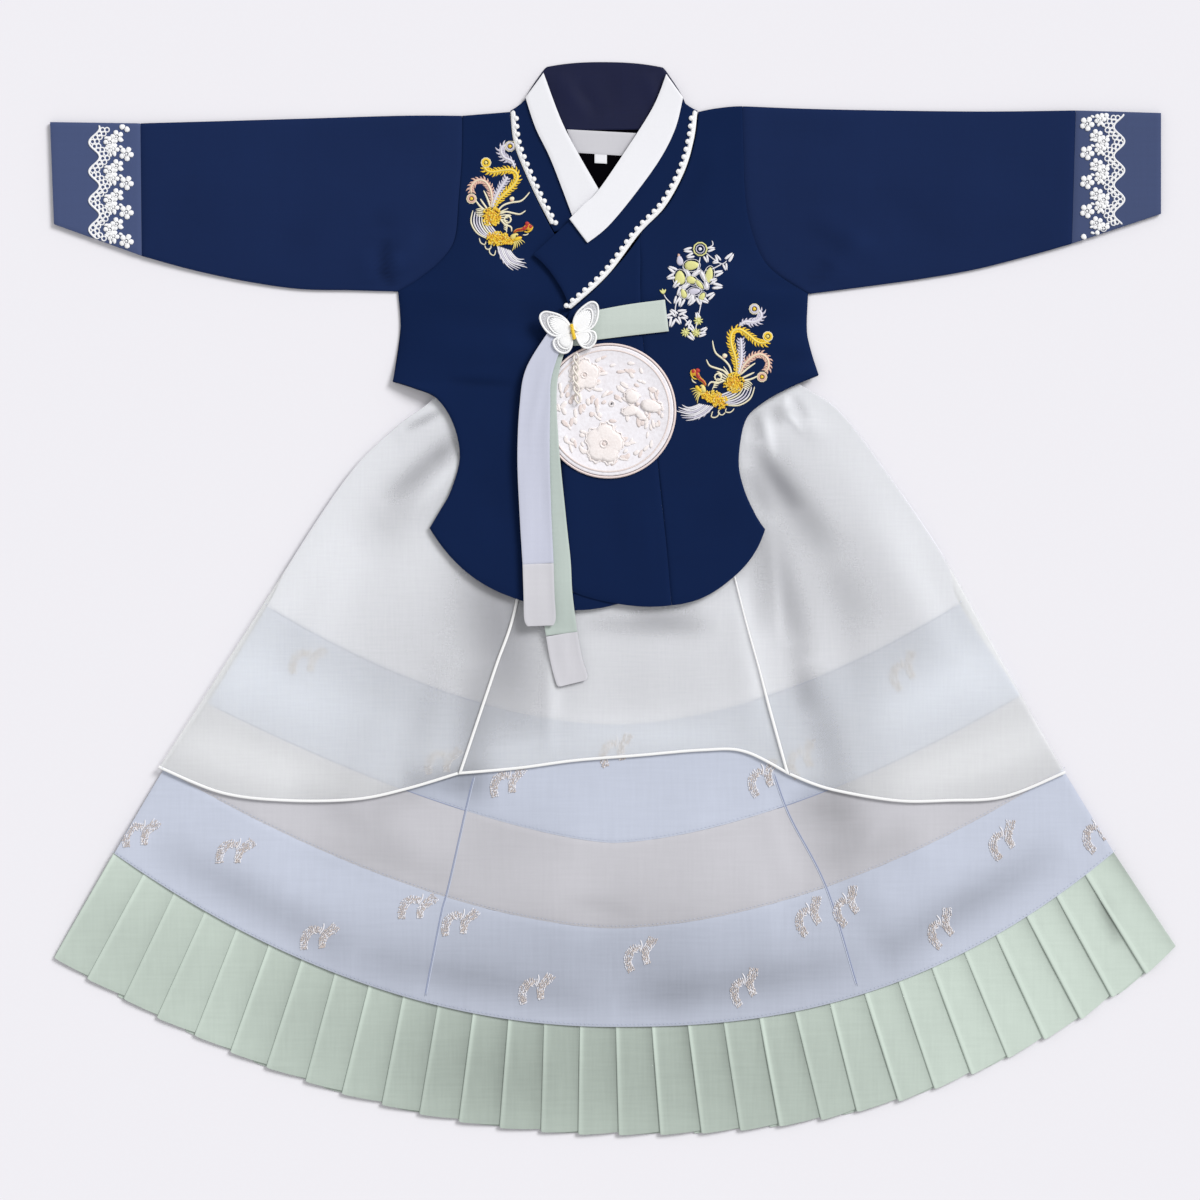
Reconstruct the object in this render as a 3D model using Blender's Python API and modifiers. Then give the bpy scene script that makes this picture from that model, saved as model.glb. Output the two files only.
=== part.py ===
"""Girl's Korean hanbok laid flat: a long jacket over a layered skirt, with its ties and ornaments.

Sizes are in millimetres and become metres when a mesh is made.  X runs across the garment (the cuffs
lie along it), Y runs from the hem (-) to the collar (+), and Z is up from the table that it lies on.
Every cloth piece is a sheet: rows of points from a short table, on a grid, with a wall from Solidify.
"""

import math
from collections import namedtuple

import bmesh
import bpy
from mathutils import Matrix, Vector

# ---------------------------------------------------------------- driving sizes (mm)
MM = 0.001                 # one millimetre in metres
WALL = 1.0                 # thickness of every cloth piece
GAP = 0.3                  # space between pieces that touch
LAYER = WALL + 0.4         # rise from one lying layer to the next
SEAM = GAP / 2             # each side of a seam stands back this far
ARMHOLE_SEAM = 0.5         # more at the armhole, which its rows cross at a slant

JACKET_LIFT = 9.8          # underside of the inner front, over the skirt
OUTER_LIFT = JACKET_LIFT + LAYER
ORNAMENT_Z = OUTER_LIFT + LAYER
FALL = 6                   # how late a lifted front drops to its sewn side
BOW_POWER = 2.4            # roundness of a bowed hem

MEDALLION_CENTRE = (-3.7, 146.0)
MEDALLION_RADIUS = 50.2
MEDALLION_THICK = 1.6
RIM_RADIUS = 0.9

PLEATS_FRONT = 30
PLEATS_BACK = 16
PLEAT_UNDERLAP = 5.0
PLEAT_PITCH = WALL + GAP   # rise between the three layers of a pleat

BINDING = 2.4              # width of the overlay's bound edge
PIPING = 5.0               # width of the collar's lace piping
TIE_ROWS = 9

# A row runs from its inner end to its outer end; bow pushes its middle towards the hem.
Row = namedtuple("Row", "place x_in y_in x_out y_out bow z_in z_out")

RIGHT_FRONT = [
    Row("shoulder", -80, 378, -117, 375, 0, 1.4, 1.4),
    Row("neck_side", -77, 352, -117.5, 342, 0, 1.4, 1.4),
    Row("chest", -64, 320, -120, 310, 0, 1.6, 1.4),
    Row("armhole", -46, 284, -123, 280, 0, 2.6, 1.4),
    Row("armpit", -30, 262, -134, 263, 0, 3.9, 1.4),
    Row("armpit_low", -20, 250, -152, 248, 0, 5.2, 1.4),
    Row("side_top", -8, 238, -167, 239, 0, 5.8, 1.4),
    Row("side_mid", 8, 216, -165, 212, 0, 7.8, 1.4),
    Row("side_low", 20, 188, -167.5, 188, 0, JACKET_LIFT, 2.4),
    Row("side_end", 22, 172, -171, 169, 0, JACKET_LIFT, 5.2),
    Row("notch_top", 23, 164, -155, 164, 0, JACKET_LIFT, 8.6),
    Row("notch_a", 24, 155, -137, 156, 0, JACKET_LIFT, JACKET_LIFT),
    Row("notch_b", 25, 137, -124, 136, 0, JACKET_LIFT, JACKET_LIFT),
    Row("notch_c", 26, 110, -119, 110, 0, JACKET_LIFT, JACKET_LIFT),
    Row("notch_d", 27, 80, -126, 84, 0, JACKET_LIFT, JACKET_LIFT),
    Row("hem_above", 26, 46, -135, 68, 12, JACKET_LIFT, JACKET_LIFT),
    Row("hem", 24, 5, -142, 56, 33, JACKET_LIFT, JACKET_LIFT),
]

LEFT_FRONT = [
    Row("shoulder", 66, 378, 100, 382.4, -1, 1.4, 1.4),
    Row("neck_side", 63.5, 358, 101, 352, 0, 1.6, 1.4),
    Row("chest", 56, 332, 102, 320, 0, 2.2, 1.4),
    Row("armhole", 41, 304, 105, 295, 0, 3.6, 1.4),
    Row("armpit", 21, 283, 113, 270, 0, 4.8, 1.4),
    Row("armpit_low", 21, 262, 124, 255, 0, 6.8, 1.4),
    Row("side_top", 21, 238, 151, 237, 0, 10.0, 1.4),
    Row("side_mid", 22, 212, 150, 208, 0, OUTER_LIFT, 1.4),
    Row("side_low", 24, 190, 154, 190, 0, OUTER_LIFT, 2.6),
    Row("side_end", 26, 178, 159, 174, 0, OUTER_LIFT, 6.4),
    Row("notch_top", 28, 166, 136, 164, 0, OUTER_LIFT, 9.8),
    Row("notch_a", 29, 154, 115, 152, 0, OUTER_LIFT, OUTER_LIFT),
    Row("notch_b", 31, 138, 102, 138, 0, OUTER_LIFT, OUTER_LIFT),
    Row("notch_c", 34, 108, 97, 108, 0, OUTER_LIFT, OUTER_LIFT),
    Row("notch_d", 37, 82, 101, 86, 0, OUTER_LIFT, OUTER_LIFT),
    Row("hem_above", 41, 42, 110, 66, 5, OUTER_LIFT, OUTER_LIFT),
    Row("hem", 45, -4, 117, 55, 13.5, OUTER_LIFT, OUTER_LIFT),
]

# The overlap panel runs from its free front edge to the seam with the left front.
OVERLAP = [
    Row("collar", -33, 223.5, 21, 282.6, 3, 10.4, 4.8),
    Row("under_a", -37, 212, 21, 262, 0, OUTER_LIFT, 6.8),
    Row("under_b", -37.5, 198, 21, 238, 0, OUTER_LIFT, 10.0),
    Row("under_c", -38, 180, 22, 212, 0, OUTER_LIFT, OUTER_LIFT),
    Row("waist", -38.5, 160, 24, 190, 0, OUTER_LIFT, OUTER_LIFT),
    Row("tie", -39, 140, 29, 154, 0, OUTER_LIFT, OUTER_LIFT),
    Row("mid", -39.5, 100, 34, 108, 0, OUTER_LIFT, OUTER_LIFT),
    Row("low", -40, 50, 41, 42, 2, OUTER_LIFT, OUTER_LIFT),
    Row("hem", -41, 11, 45, -4, 6, OUTER_LIFT, OUTER_LIFT),
]

# The back goes from the right armhole to the left one; its hem is one deep bow.
BACK = [
    Row("neck", -117, 375, 100, 382.4, 8.4, 0, 0),
    Row("shoulder", -117.5, 342, 101, 352, 0, 0, 0),
    Row("chest", -120, 310, 102, 320, 0, 0, 0),
    Row("armhole", -123, 280, 105, 295, 0, 0, 0),
    Row("armpit", -134, 263, 113, 270, 0, 0, 0),
    Row("armpit_low", -152, 248, 124, 255, 0, 0, 0),
    Row("side_top", -167, 239, 151, 237, 0, 0, 0),
    Row("side_mid", -165, 212, 150, 208, 0, 0, 0),
    Row("side_end", -171, 169, 159, 174, 0, 0, 0),
    Row("notch_top", -155, 164, 136, 164, 0, 0, 0),
    Row("notch_a", -137, 156, 115, 152, 0, 0, 0),
    Row("notch_b", -124, 136, 102, 138, 0, 0, 0),
    Row("notch_c", -119, 110, 97, 108, 0, 0, 0),
    Row("notch_d", -126, 84, 101, 86, 0, 0, 0),
    Row("hem_above", -135, 68, 110, 66, 22, 0, 0),
    Row("hem", -142, 56, 117, 55, 60, 0, 0),
]

# A sleeve is the patch between its armhole and its cuff seam; these are its long edges.
SleeveCut = namedtuple("SleeveCut", "top bottom cuff_top cuff_bottom lace_near lace_far")
RIGHT_SLEEVE = SleeveCut(
    top=[(-117, 375), (-166, 375), (-261, 372), (-366, 369)],
    bottom=[(-167, 239), (-203, 240), (-243, 241), (-285, 247), (-327, 256), (-365, 266.5)],
    cuff_top=(-436, 370), cuff_bottom=(-433, 291), lace_near=0.07, lace_far=0.58)
LEFT_SLEEVE = SleeveCut(
    top=[(100, 382.4), (154, 380.3), (215, 379), (289, 378.2), (358, 379)],
    bottom=[(151, 237), (200, 243.4), (240, 249), (282, 256.5), (327, 268), (355, 276)],
    cuff_top=(424, 377), cuff_bottom=(424, 299), lace_near=0.07, lace_far=0.62)
SLEEVE_PUFF = 2.4          # how far a sleeve's front stands up in the middle
SLEEVE_LENGTHS = 6
CUFF_BACK_Z = LAYER        # the back lace lies under the cuff
CUFF_FRONT_Z = CUFF_BACK_Z + LAYER

# Collar pieces: rows across the band, from the neck edge to the outer edge.
GIT_LEFT = [
    Row("shoulder", 41, 407, 65, 379, 4, 2.4, 1.8),
    Row("side", 31, 382, 62.5, 358, 0, 2.8, 2.0),
    Row("chest", 21, 366, 55, 332, 0, 2.9, 2.6),
    Row("cross", 4, 339, 40, 304.5, 0, 3.6, 4.0),
    Row("vee", -11, 316, 20.3, 283.6, 0, 4.6, 5.2),
    Row("under_vee", -33, 294, -4.6, 250.9, 0, 5.6, 7.2),
    Row("end", -62, 267, -33.6, 224.2, -4, 7.4, 10.6),
]
GIT_RIGHT = [
    Row("shoulder", -54, 408, -79.5, 379, 3, 2.4, 1.6),
    Row("side", -41, 373, -76.5, 352.5, 0, 2.8, 1.6),
    Row("chest", -29, 349, -63.5, 320.5, 0, 2.8, 1.8),
    Row("vee", -11, 316, -52.4, 298.2, 0, 2.2, 2.2),
    Row("hidden_end", 1, 298, -45.5, 285, 0, 2.2, 2.8),
]
STRIP_LEFT = [
    Row("shoulder", 41, 407, 54, 389, 0, 3.8, 3.6),
    Row("side", 31, 382, 48, 365, 0, 3.8, 3.7),
    Row("chest", 11, 350, 36, 341, 0, 4.6, 4.3),
    Row("cross", -11, 316, 16, 313, 0, 6.2, 5.9),
    Row("vee", -22, 305, -4, 289, 0, 6.8, 7.1),
    Row("end", -33, 294, -20, 276, 0, 7.4, 7.9),
]
STRIP_RIGHT = [
    Row("shoulder", -54, 408, -68, 389, 0, 3.8, 3.5),
    Row("side", -41, 373, -60, 365, 0, 4.2, 3.7),
    Row("chest", -29, 349, -48, 340, 0, 4.2, 3.8),
    Row("vee", -11.6, 317.2, -27.8, 301, 0, 3.6, 3.6),
]
GIT_BACK = [
    Row("top", -51.5, 413, 38.5, 412.5, -4, 0.2, 0.2),
    Row("corner", -55.5, 408.5, 42.5, 407.5, 0, 0.2, 0.2),
    Row("mid", -68, 389, 54, 389, 0, 0.2, 0.2),
    Row("neck", -76, 372.8, 62, 378, 4.6, 0.2, 0.2),
]
GIT_BACK_WALL = 1.0

# Skirt rows: half widths left and right, heights at the sides and the middle, and each side's power.
SkirtRow = namedtuple(
    "SkirtRow", "place left right y_left y_mid y_right bend_left bend_right z_back z_front")
SKIRT = [
    SkirtRow("waist", -112, 112, 190, 188, 190, 2.0, 2.0, 2.9, 4.5),
    SkirtRow("hip", -139, 147, 156, 157, 165, 2.0, 2.0, 2.9, 4.5),
    SkirtRow("notch", -168, 174, 134, 126, 147, 2.0, 2.0, 2.9, 4.5),
    SkirtRow("tip", -204, 208, 98, 66, 104, 2.0, 2.0, 2.9, 4.5),
    SkirtRow("jacket_hem", -249, 256, 31, -12, 33, 2.0, 2.0, 2.9, 4.5),
    SkirtRow("upper_blue", -268, 268, -5, -96, -3, 1.8, 1.8, 2.4, 3.9),
    SkirtRow("grey", -314, 315, -80, -188, -74, 1.45, 1.6, 1.7, 3.1),
    SkirtRow("lower_blue", -348, 348, -131, -254, -131, 1.65, 1.8, 1.7, 3.3),
    SkirtRow("flounce", -386, 387, -196, -330, -195, 2.0, 2.4, 1.5, 5.7),
    SkirtRow("hem", -432, 436, -276, -413, -269, 2.0, 2.5, 1.5, 5.7),
]
BANDS = (
    ("white", "jacket_hem", "white_cloth"),
    ("upper_blue", "grey", "blue_cloth"),
    ("grey", "lower_blue", "grey_cloth"),
    ("lower_blue", "flounce", "blue_cloth"),
)
WAISTBAND_TOP = 226
FLOUNCE_BACK_Z = WALL / 2 + 0.05
FLOUNCE_FRONT_Z = FLOUNCE_BACK_Z + 3 * PLEAT_PITCH

# The overlay's two seams stand at these shares of the half width, and its hem has three stretches.
OVERLAY_LIFT = 1.6
SEAM_LEFT = -0.31
SEAM_RIGHT = 0.39
HEM_LEFT = [(-352, -130), (-303, -150), (-252, -156), (-199, -155), (-160, -147), (-120, -135)]
HEM_MIDDLE = [(-120, -135), (-74, -131), (-29, -125), (21, -121), (69, -117), (101, -118), (136, -135.5)]
HEM_RIGHT = [(136, -135.5), (167, -147), (218, -156), (259, -156), (303, -153), (350, -134)]
HEM_BACK = [(-352, -130), (-240, -156), (-118, -140), (0, -124), (118, -140), (240, -156), (350, -134)]
OVERLAY_FRONT_FALL = (5.7, 5.3, 4.9)
OVERLAY_BACK_FALL = (0.8, 0.0, 0.0)

# Folds of the skirt's front: a soft ridge from one place to another.
Fold = namedtuple("Fold", "x_top y_top x_low y_low height width")
FOLDS = [
    Fold(-118, 118, -176, 52, 2.2, 13),
    Fold(-130, 148, -170, 126, 1.4, 9),
    Fold(98, 130, 120, -20, 2.2, 14),
    Fold(110, 118, 178, 46, 2.2, 14),
    Fold(128, 156, 166, 122, 1.4, 9),
    Fold(122, -10, 165, -240, 1.2, 24),
    Fold(-150, 60, -200, -180, 1.2, 26),
]

# Ties: centre line, width and height of the underside at each row.
TieRow = namedtuple("TieRow", "place x y width z")
LAVENDER_TIE = [
    TieRow("knot", -43, 206, 13, 16.3),
    TieRow("chest", -57.2, 176, 20.6, 16.3),
    TieRow("waist", -60.4, 150, 23.6, 16.3),
    TieRow("mid", -61.5, 110, 25, 16.3),
    TieRow("low", -60, 66, 24.5, 14.7),
    TieRow("end_seam", -58, 28, 24, 14.6),
]
LAVENDER_END = [
    TieRow("end_seam", -58, 27.4, 24, 14.6),
    TieRow("hem", -57.3, 4, 24, 14.3),
    TieRow("drop", -56.6, -14, 24.5, 13.2),
    TieRow("tip", -56.4, -20, 20, 12.6),
]
GREEN_TIE = [
    TieRow("knot", -40, 205, 13, 14.9),
    TieRow("chest", -52, 170, 18, 14.9),
    TieRow("waist", -52, 126, 19, 14.9),
    TieRow("mid", -48.5, 63, 24, 13.0),
    TieRow("low", -45.5, 30, 25, 12.9),
    TieRow("hem", -44, 4, 25, 12.6),
    TieRow("end_seam", -40, -26, 24.5, 8.8),
]
GREEN_END = [
    TieRow("end_seam", -39.8, -27.2, 24.5, 8.8),
    TieRow("low", -36.5, -46, 24.5, 8.2),
    TieRow("tip", -31.5, -64, 25, 8.2),
]
TIE_LOOP = [
    TieRow("knot", -20, 211, 22, 12.7),
    TieRow("mid", 12, 216, 24, 12.7),
    TieRow("fold", 40.5, 219.5, 24.5, 12.7),
]
KNOT_CENTRE = (-33, 205)
KNOT_SIZE = (19, 17, 1.8)

BUTTERFLY_PLACE = (-31, 206)
BUTTERFLY_TURN = math.radians(12)
BUTTERFLY_Z = 17.7
WING_HALF = [(1.0, 5.0), (5.0, 12.0), (12.0, 18.0), (19.0, 20.0), (22.5, 17.0), (21.5, 9.0), (17.0, 2.0),
             (11.0, -0.6), (16.8, -2.4), (16.4, -8.0), (11.5, -13.6), (6.0, -13.0), (1.6, -6.0)]
BODY_LENGTH = 19
BODY_RADIUS = 1.5
TASSEL = [(-29, 188, 16.4), (-28, 180, 16.2), (-29, 170, 16.1), (-28.2, 160, 16.0), (-27, 152, 16.0)]
TASSEL_RADIUS = 1.5

LABEL = [(-36, 364.5), (21, 361.5), (-30, 346.5), (17.5, 343.5)]
SIZE_TAG = [(-14.5, 345.0), (-5, 344.4), (-14.5, 338.5), (-5, 338.0)]


# ---------------------------------------------------------------- materials
def linear(channel):
    """Turn a 0-255 screen value into the linear value that Blender's colours use."""
    share = channel / 255
    if share <= 0.04045:
        return share / 12.92
    return ((share + 0.055) / 1.055) ** 2.4


def material(name, red, green, blue, roughness, metallic=0.0):
    """A plain Principled material of one colour."""
    made = bpy.data.materials.new(name)
    made.use_nodes = True
    shader = made.node_tree.nodes["Principled BSDF"]
    shader.inputs["Base Color"].default_value = (linear(red), linear(green), linear(blue), 1)
    shader.inputs["Roughness"].default_value = roughness
    shader.inputs["Metallic"].default_value = metallic
    return made


def make_materials():
    """Every cloth, lace and thread of the garment."""
    return {
        "navy_cloth": material("navy_cloth", 26, 38, 86, 0.75),
        "sleeve_cloth": material("sleeve_cloth", 35, 46, 92, 0.75),
        "cuff_cloth": material("cuff_cloth", 74, 90, 140, 0.7),
        "white_lace": material("white_lace", 244, 244, 246, 0.8),
        "white_strip": material("white_strip", 243, 243, 245, 0.5),
        "label_cloth": material("label_cloth", 206, 208, 214, 0.45),
        "white_cloth": material("white_cloth", 224, 226, 230, 0.8),
        "blue_cloth": material("blue_cloth", 188, 197, 219, 0.7),
        "grey_cloth": material("grey_cloth", 198, 199, 206, 0.75),
        "green_cloth": material("green_cloth", 183, 205, 189, 0.75),
        "organza": material("organza", 226, 228, 232, 0.6),
        "binding": material("binding", 246, 247, 249, 0.55),
        "lavender_cloth": material("lavender_cloth", 197, 204, 224, 0.7),
        "tie_green": material("tie_green", 193, 214, 203, 0.7),
        "tie_grey": material("tie_grey", 214, 213, 220, 0.7),
        "ivory_relief": material("ivory_relief", 233, 222, 216, 0.7),
        "rose_rim": material("rose_rim", 226, 204, 196, 0.6),
        "sheer_white": material("sheer_white", 246, 246, 248, 0.5),
        "gold_thread": material("gold_thread", 224, 184, 60, 0.4, 0.3),
        "cream_cord": material("cream_cord", 236, 228, 204, 0.7),
    }


# ---------------------------------------------------------------- shapes
def blend(first, second, share):
    return first + (second - first) * share


def smooth(points, count):
    """count + 1 places at even spacing on a smooth curve through the points."""
    fine = []
    steps = 16
    last = len(points) - 1
    for i in range(last):
        before = Vector(points[max(i - 1, 0)])
        here = Vector(points[i])
        there = Vector(points[i + 1])
        after = Vector(points[min(i + 2, last)])
        for k in range(steps):
            t = k / steps
            bend = (2 * before - 5 * here + 4 * there - after) * t * t
            twist = (3 * here - before - 3 * there + after) * t ** 3
            fine.append(here + 0.5 * ((there - before) * t + bend + twist))
    fine.append(Vector(points[-1]))
    return even(fine, [k / count for k in range(count + 1)])


def even(line, shares):
    """Places on a polyline at the given shares of its length."""
    lengths = [0.0]
    for i in range(1, len(line)):
        lengths.append(lengths[-1] + (line[i] - line[i - 1]).length)
    places = []
    for share in shares:
        target = min(max(share, 0), 1) * lengths[-1]
        i = 1
        while i < len(line) - 1 and lengths[i] < target:
            i += 1
        span = lengths[i] - lengths[i - 1]
        places.append(line[i - 1].lerp(line[i], (target - lengths[i - 1]) / span))
    return places


def row_line(row, count, fall=FALL):
    """The points of a table row, bowed towards the hem, dropping late to its outer end."""
    start = Vector((row.x_in, row.y_in))
    end = Vector((row.x_out, row.y_out))
    run = (end - start).normalized()
    down = Vector((run.y, -run.x))
    if down.y > 0:
        down = -down
    line = []
    for i in range(count + 1):
        share = i / count
        push = row.bow * (1 - abs(2 * share - 1) ** BOW_POWER)
        place = start.lerp(end, share) + down * push
        height = row.z_out + (row.z_in - row.z_out) * (1 - share ** fall)
        line.append(Vector((place.x, place.y, height)))
    return line


def fold_height(x, y):
    """How far the folds lift the skirt's front at a place."""
    height = 0.0
    for fold in FOLDS:
        top = Vector((fold.x_top, fold.y_top))
        run = Vector((fold.x_low, fold.y_low)) - top
        share = (Vector((x, y)) - top).dot(run) / run.length_squared
        if 0 < share < 1:
            away = (Vector((x, y)) - top - run * share).length
            taper = math.sin(math.pi * share) ** 0.6
            height = max(height, fold.height * taper * math.exp(-(away / fold.width) ** 2))
    return height


def skirt_row(place):
    return next(row for row in SKIRT if row.place == place)


def skirt_point(row, across):
    """The place on a skirt row at a share of its half width, from -1 (left) to 1 (right)."""
    side_x = row.right if across > 0 else -row.left
    side_y = row.y_right if across > 0 else row.y_left
    bend = row.bend_right if across > 0 else row.bend_left
    return Vector((across * side_x, row.y_mid + (side_y - row.y_mid) * abs(across) ** bend))


def skirt_line(row, columns, is_front, lift=0.0):
    """A skirt row's points at the given columns, on the front or the back layer."""
    line = []
    for across in columns:
        place = skirt_point(row, across)
        height = row.z_front + fold_height(place.x, place.y) if is_front else row.z_back
        line.append(Vector((place.x, place.y, height + lift)))
    return line


def patch(first, last, start, end):
    """Rows between four edge curves that share their corners."""
    rows = []
    down = len(start) - 1
    wide = len(first) - 1
    for j in range(down + 1):
        v = j / down
        row = []
        for i in range(wide + 1):
            u = i / wide
            ruled = first[i].lerp(last[i], v) + start[j].lerp(end[j], u)
            corners = first[0].lerp(first[-1], u).lerp(last[0].lerp(last[-1], u), v)
            row.append(ruled - corners)
        rows.append(row)
    return rows


def shrink(rows, left=0.0, right=0.0, top=0.0, bottom=0.0):
    """Pull the edges of a grid of points in along its own lines, for seams."""
    for row in rows:
        if left:
            row[0] = row[0] + (row[1] - row[0]).normalized() * left
        if right:
            row[-1] = row[-1] + (row[-2] - row[-1]).normalized() * right
    for i in range(len(rows[0])):
        if top:
            rows[0][i] = rows[0][i] + (rows[1][i] - rows[0][i]).normalized() * top
        if bottom:
            rows[-1][i] = rows[-1][i] + (rows[-2][i] - rows[-1][i]).normalized() * bottom
    return rows


def place_object(name, data, collection, finish):
    made = bpy.data.objects.new(name, data)
    collection.objects.link(made)
    data.materials.append(finish)
    return made


def sheet(name, rows, collection, finish, wall=WALL, centred=False):
    """A cloth piece: a grid on the rows, with its wall above it (or about it, where it folds)."""
    down = len(rows) - 1
    wide = len(rows[0]) - 1
    mesh = bpy.data.meshes.new(name)
    grid = bmesh.new()
    bmesh.ops.create_grid(grid, x_segments=wide, y_segments=down, size=1.0)
    for vert in grid.verts:
        i = round((vert.co.x + 1) / 2 * wide)
        j = round((1 - vert.co.y) / 2 * down)
        vert.co = rows[j][i] * MM
    grid.normal_update()
    if sum(face.normal.z * face.calc_area() for face in grid.faces) < 0:
        bmesh.ops.reverse_faces(grid, faces=grid.faces)
    grid.to_mesh(mesh)
    grid.free()
    made = place_object(name, mesh, collection, finish)
    thick = made.modifiers.new("wall", "SOLIDIFY")
    thick.thickness = wall * MM
    thick.offset = 0.0 if centred else 1.0
    thick.use_even_offset = True
    return made


def strip(name, line, width, collection, finish, side=1, lift=0.0, wall=WALL):
    """A narrow cloth strip that runs along a line, on its left (side 1) or right (side -1)."""
    rows = []
    for i, place in enumerate(line):
        ahead = line[min(i + 1, len(line) - 1)] - line[max(i - 1, 0)]
        out = Vector((-ahead.y, ahead.x, 0)).normalized() * width * side
        raised = place + Vector((0, 0, lift))
        rows.append([raised, raised + out])
    return sheet(name, rows, collection, finish, wall)


def plate(name, outline, z, thickness, collection, finish):
    """A flat piece from its outline, filled on both sides and extruded."""
    curve = bpy.data.curves.new(name, "CURVE")
    curve.dimensions = "2D"
    curve.fill_mode = "BOTH"
    curve.extrude = thickness / 2 * MM
    spline = curve.splines.new("POLY")
    spline.points.add(len(outline) - 1)
    for point, place in zip(spline.points, outline):
        point.co = (place[0] * MM, place[1] * MM, 0, 1)
    spline.use_cyclic_u = True
    made = place_object(name, curve, collection, finish)
    made.location.z = (z + thickness / 2) * MM
    return made


def tube(name, points, radius, collection, finish):
    """A cord through the points, with closed ends."""
    curve = bpy.data.curves.new(name, "CURVE")
    curve.dimensions = "3D"
    curve.bevel_depth = radius * MM
    curve.bevel_resolution = 2
    curve.use_fill_caps = True
    line = smooth(points, 10)
    spline = curve.splines.new("POLY")
    spline.points.add(len(line) - 1)
    for point, place in zip(spline.points, line):
        point.co = (*(place * MM), 1)
    return place_object(name, curve, collection, finish)


# ---------------------------------------------------------------- the jacket
def make_jacket_body(parts, finishes):
    navy = finishes["navy_cloth"]
    back = [row_line(row, 8) for row in BACK]
    sheet("jacket_back", shrink(back, SEAM, SEAM), parts, navy)
    right = [row_line(row, 6) for row in RIGHT_FRONT]
    sheet("jacket_front_right", shrink(right, right=ARMHOLE_SEAM), parts, navy)
    left = [row_line(row, 6) for row in LEFT_FRONT]
    sheet("jacket_front_left", shrink(left, SEAM, ARMHOLE_SEAM), parts, navy)
    overlap = [row_line(row, 4, 1) for row in OVERLAP]
    sheet("jacket_overlap", shrink(overlap, right=SEAM, top=GAP), parts, navy)


def sleeve_rows(cut, armhole, is_front):
    """The grid of one sleeve panel, from the armhole (first column) to the cuff seam (last)."""
    hole = [Vector((row.x_out, row.y_out)) for row in armhole]
    top = smooth(cut.top, SLEEVE_LENGTHS)
    bottom = smooth(cut.bottom, SLEEVE_LENGTHS)
    count = len(hole) - 1
    cuff = [top[-1].lerp(bottom[-1], i / count) for i in range(count + 1)]
    columns = patch(hole, cuff, top, bottom)
    rows = []
    for i in range(count + 1):
        row = []
        for j, column in enumerate(columns):
            place = column[i]
            along = j / SLEEVE_LENGTHS
            height = 0.0
            if is_front:
                puff = SLEEVE_PUFF * math.sin(math.pi * i / count) * math.sin(math.pi * along)
                height = blend(LAYER, CUFF_FRONT_Z, along ** 3) + puff
            row.append(Vector((place.x, place.y, height)))
        rows.append(row)
    return shrink(rows, ARMHOLE_SEAM, SEAM)


def cuff_rows(cut, height, near=0.0, far=1.0, lengths=2):
    """The grid of a cuff panel, or of the part of it between two shares of its length."""
    seam_top = Vector((*cut.top[-1], height))
    seam_low = Vector((*cut.bottom[-1], height))
    end_top = Vector((*cut.cuff_top, height))
    end_low = Vector((*cut.cuff_bottom, height))
    rows = []
    for j in range(5):
        first = seam_top.lerp(seam_low, j / 4)
        last = end_top.lerp(end_low, j / 4)
        rows.append([first.lerp(last, near + (far - near) * i / lengths) for i in range(lengths + 1)])
    return rows


def make_sleeves(parts, finishes):
    sides = (("right", RIGHT_SLEEVE, RIGHT_FRONT[:7]), ("left", LEFT_SLEEVE, LEFT_FRONT[:7]))
    for side, cut, armhole in sides:
        sheet(f"sleeve_{side}_back", sleeve_rows(cut, armhole, False), parts, finishes["sleeve_cloth"])
        sheet(f"sleeve_{side}_front", sleeve_rows(cut, armhole, True), parts, finishes["sleeve_cloth"])
        back = shrink(cuff_rows(cut, CUFF_BACK_Z), SEAM)
        front = shrink(cuff_rows(cut, CUFF_FRONT_Z), SEAM)
        sheet(f"cuff_{side}_back", back, parts, finishes["cuff_cloth"])
        sheet(f"cuff_{side}_front", front, parts, finishes["cuff_cloth"])
        lace = finishes["white_lace"]
        low = cuff_rows(cut, 0.0, cut.lace_near, cut.lace_far)
        high = cuff_rows(cut, CUFF_FRONT_Z + LAYER, cut.lace_near, cut.lace_far)
        sheet(f"cuff_lace_{side}_back", low, parts, lace)
        sheet(f"cuff_lace_{side}_front", high, parts, lace)


def make_collar(parts, finishes):
    navy = finishes["navy_cloth"]
    white = finishes["white_strip"]
    lace = finishes["white_lace"]
    sheet("collar_back", [row_line(row, 8) for row in GIT_BACK], parts, navy, GIT_BACK_WALL)
    right = [row_line(row, 3, 1) for row in GIT_RIGHT]
    left = [row_line(row, 3, 1) for row in GIT_LEFT]
    sheet("collar_right", right, parts, navy)
    sheet("collar_left", left, parts, navy)
    sheet("collar_strip_right", [row_line(row, 2, 1) for row in STRIP_RIGHT], parts, white)
    sheet("collar_strip_left", [row_line(row, 2, 1) for row in STRIP_LEFT], parts, white)
    edge_right = [row[-1] for row in right]
    edge_left = [row[-1] for row in left]
    strip("collar_lace_right", smooth(edge_right, 9), PIPING, parts, lace, side=1, lift=LAYER)
    strip("collar_lace_left", smooth(edge_left, 12), PIPING, parts, lace, side=-1, lift=LAYER)


def corners(points, height):
    """Two rows from four corners."""
    raised = [Vector((x, y, height)) for x, y in points]
    return [raised[:2], raised[2:]]


def make_labels(parts, finishes):
    sheet("neck_label", corners(LABEL, LAYER), parts, finishes["label_cloth"])
    sheet("size_tag", corners(SIZE_TAG, LAYER), parts, finishes["white_strip"])


# ---------------------------------------------------------------- the skirt
def columns_between(first, last, count):
    return [blend(first, last, i / count) for i in range(count + 1)]


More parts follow.
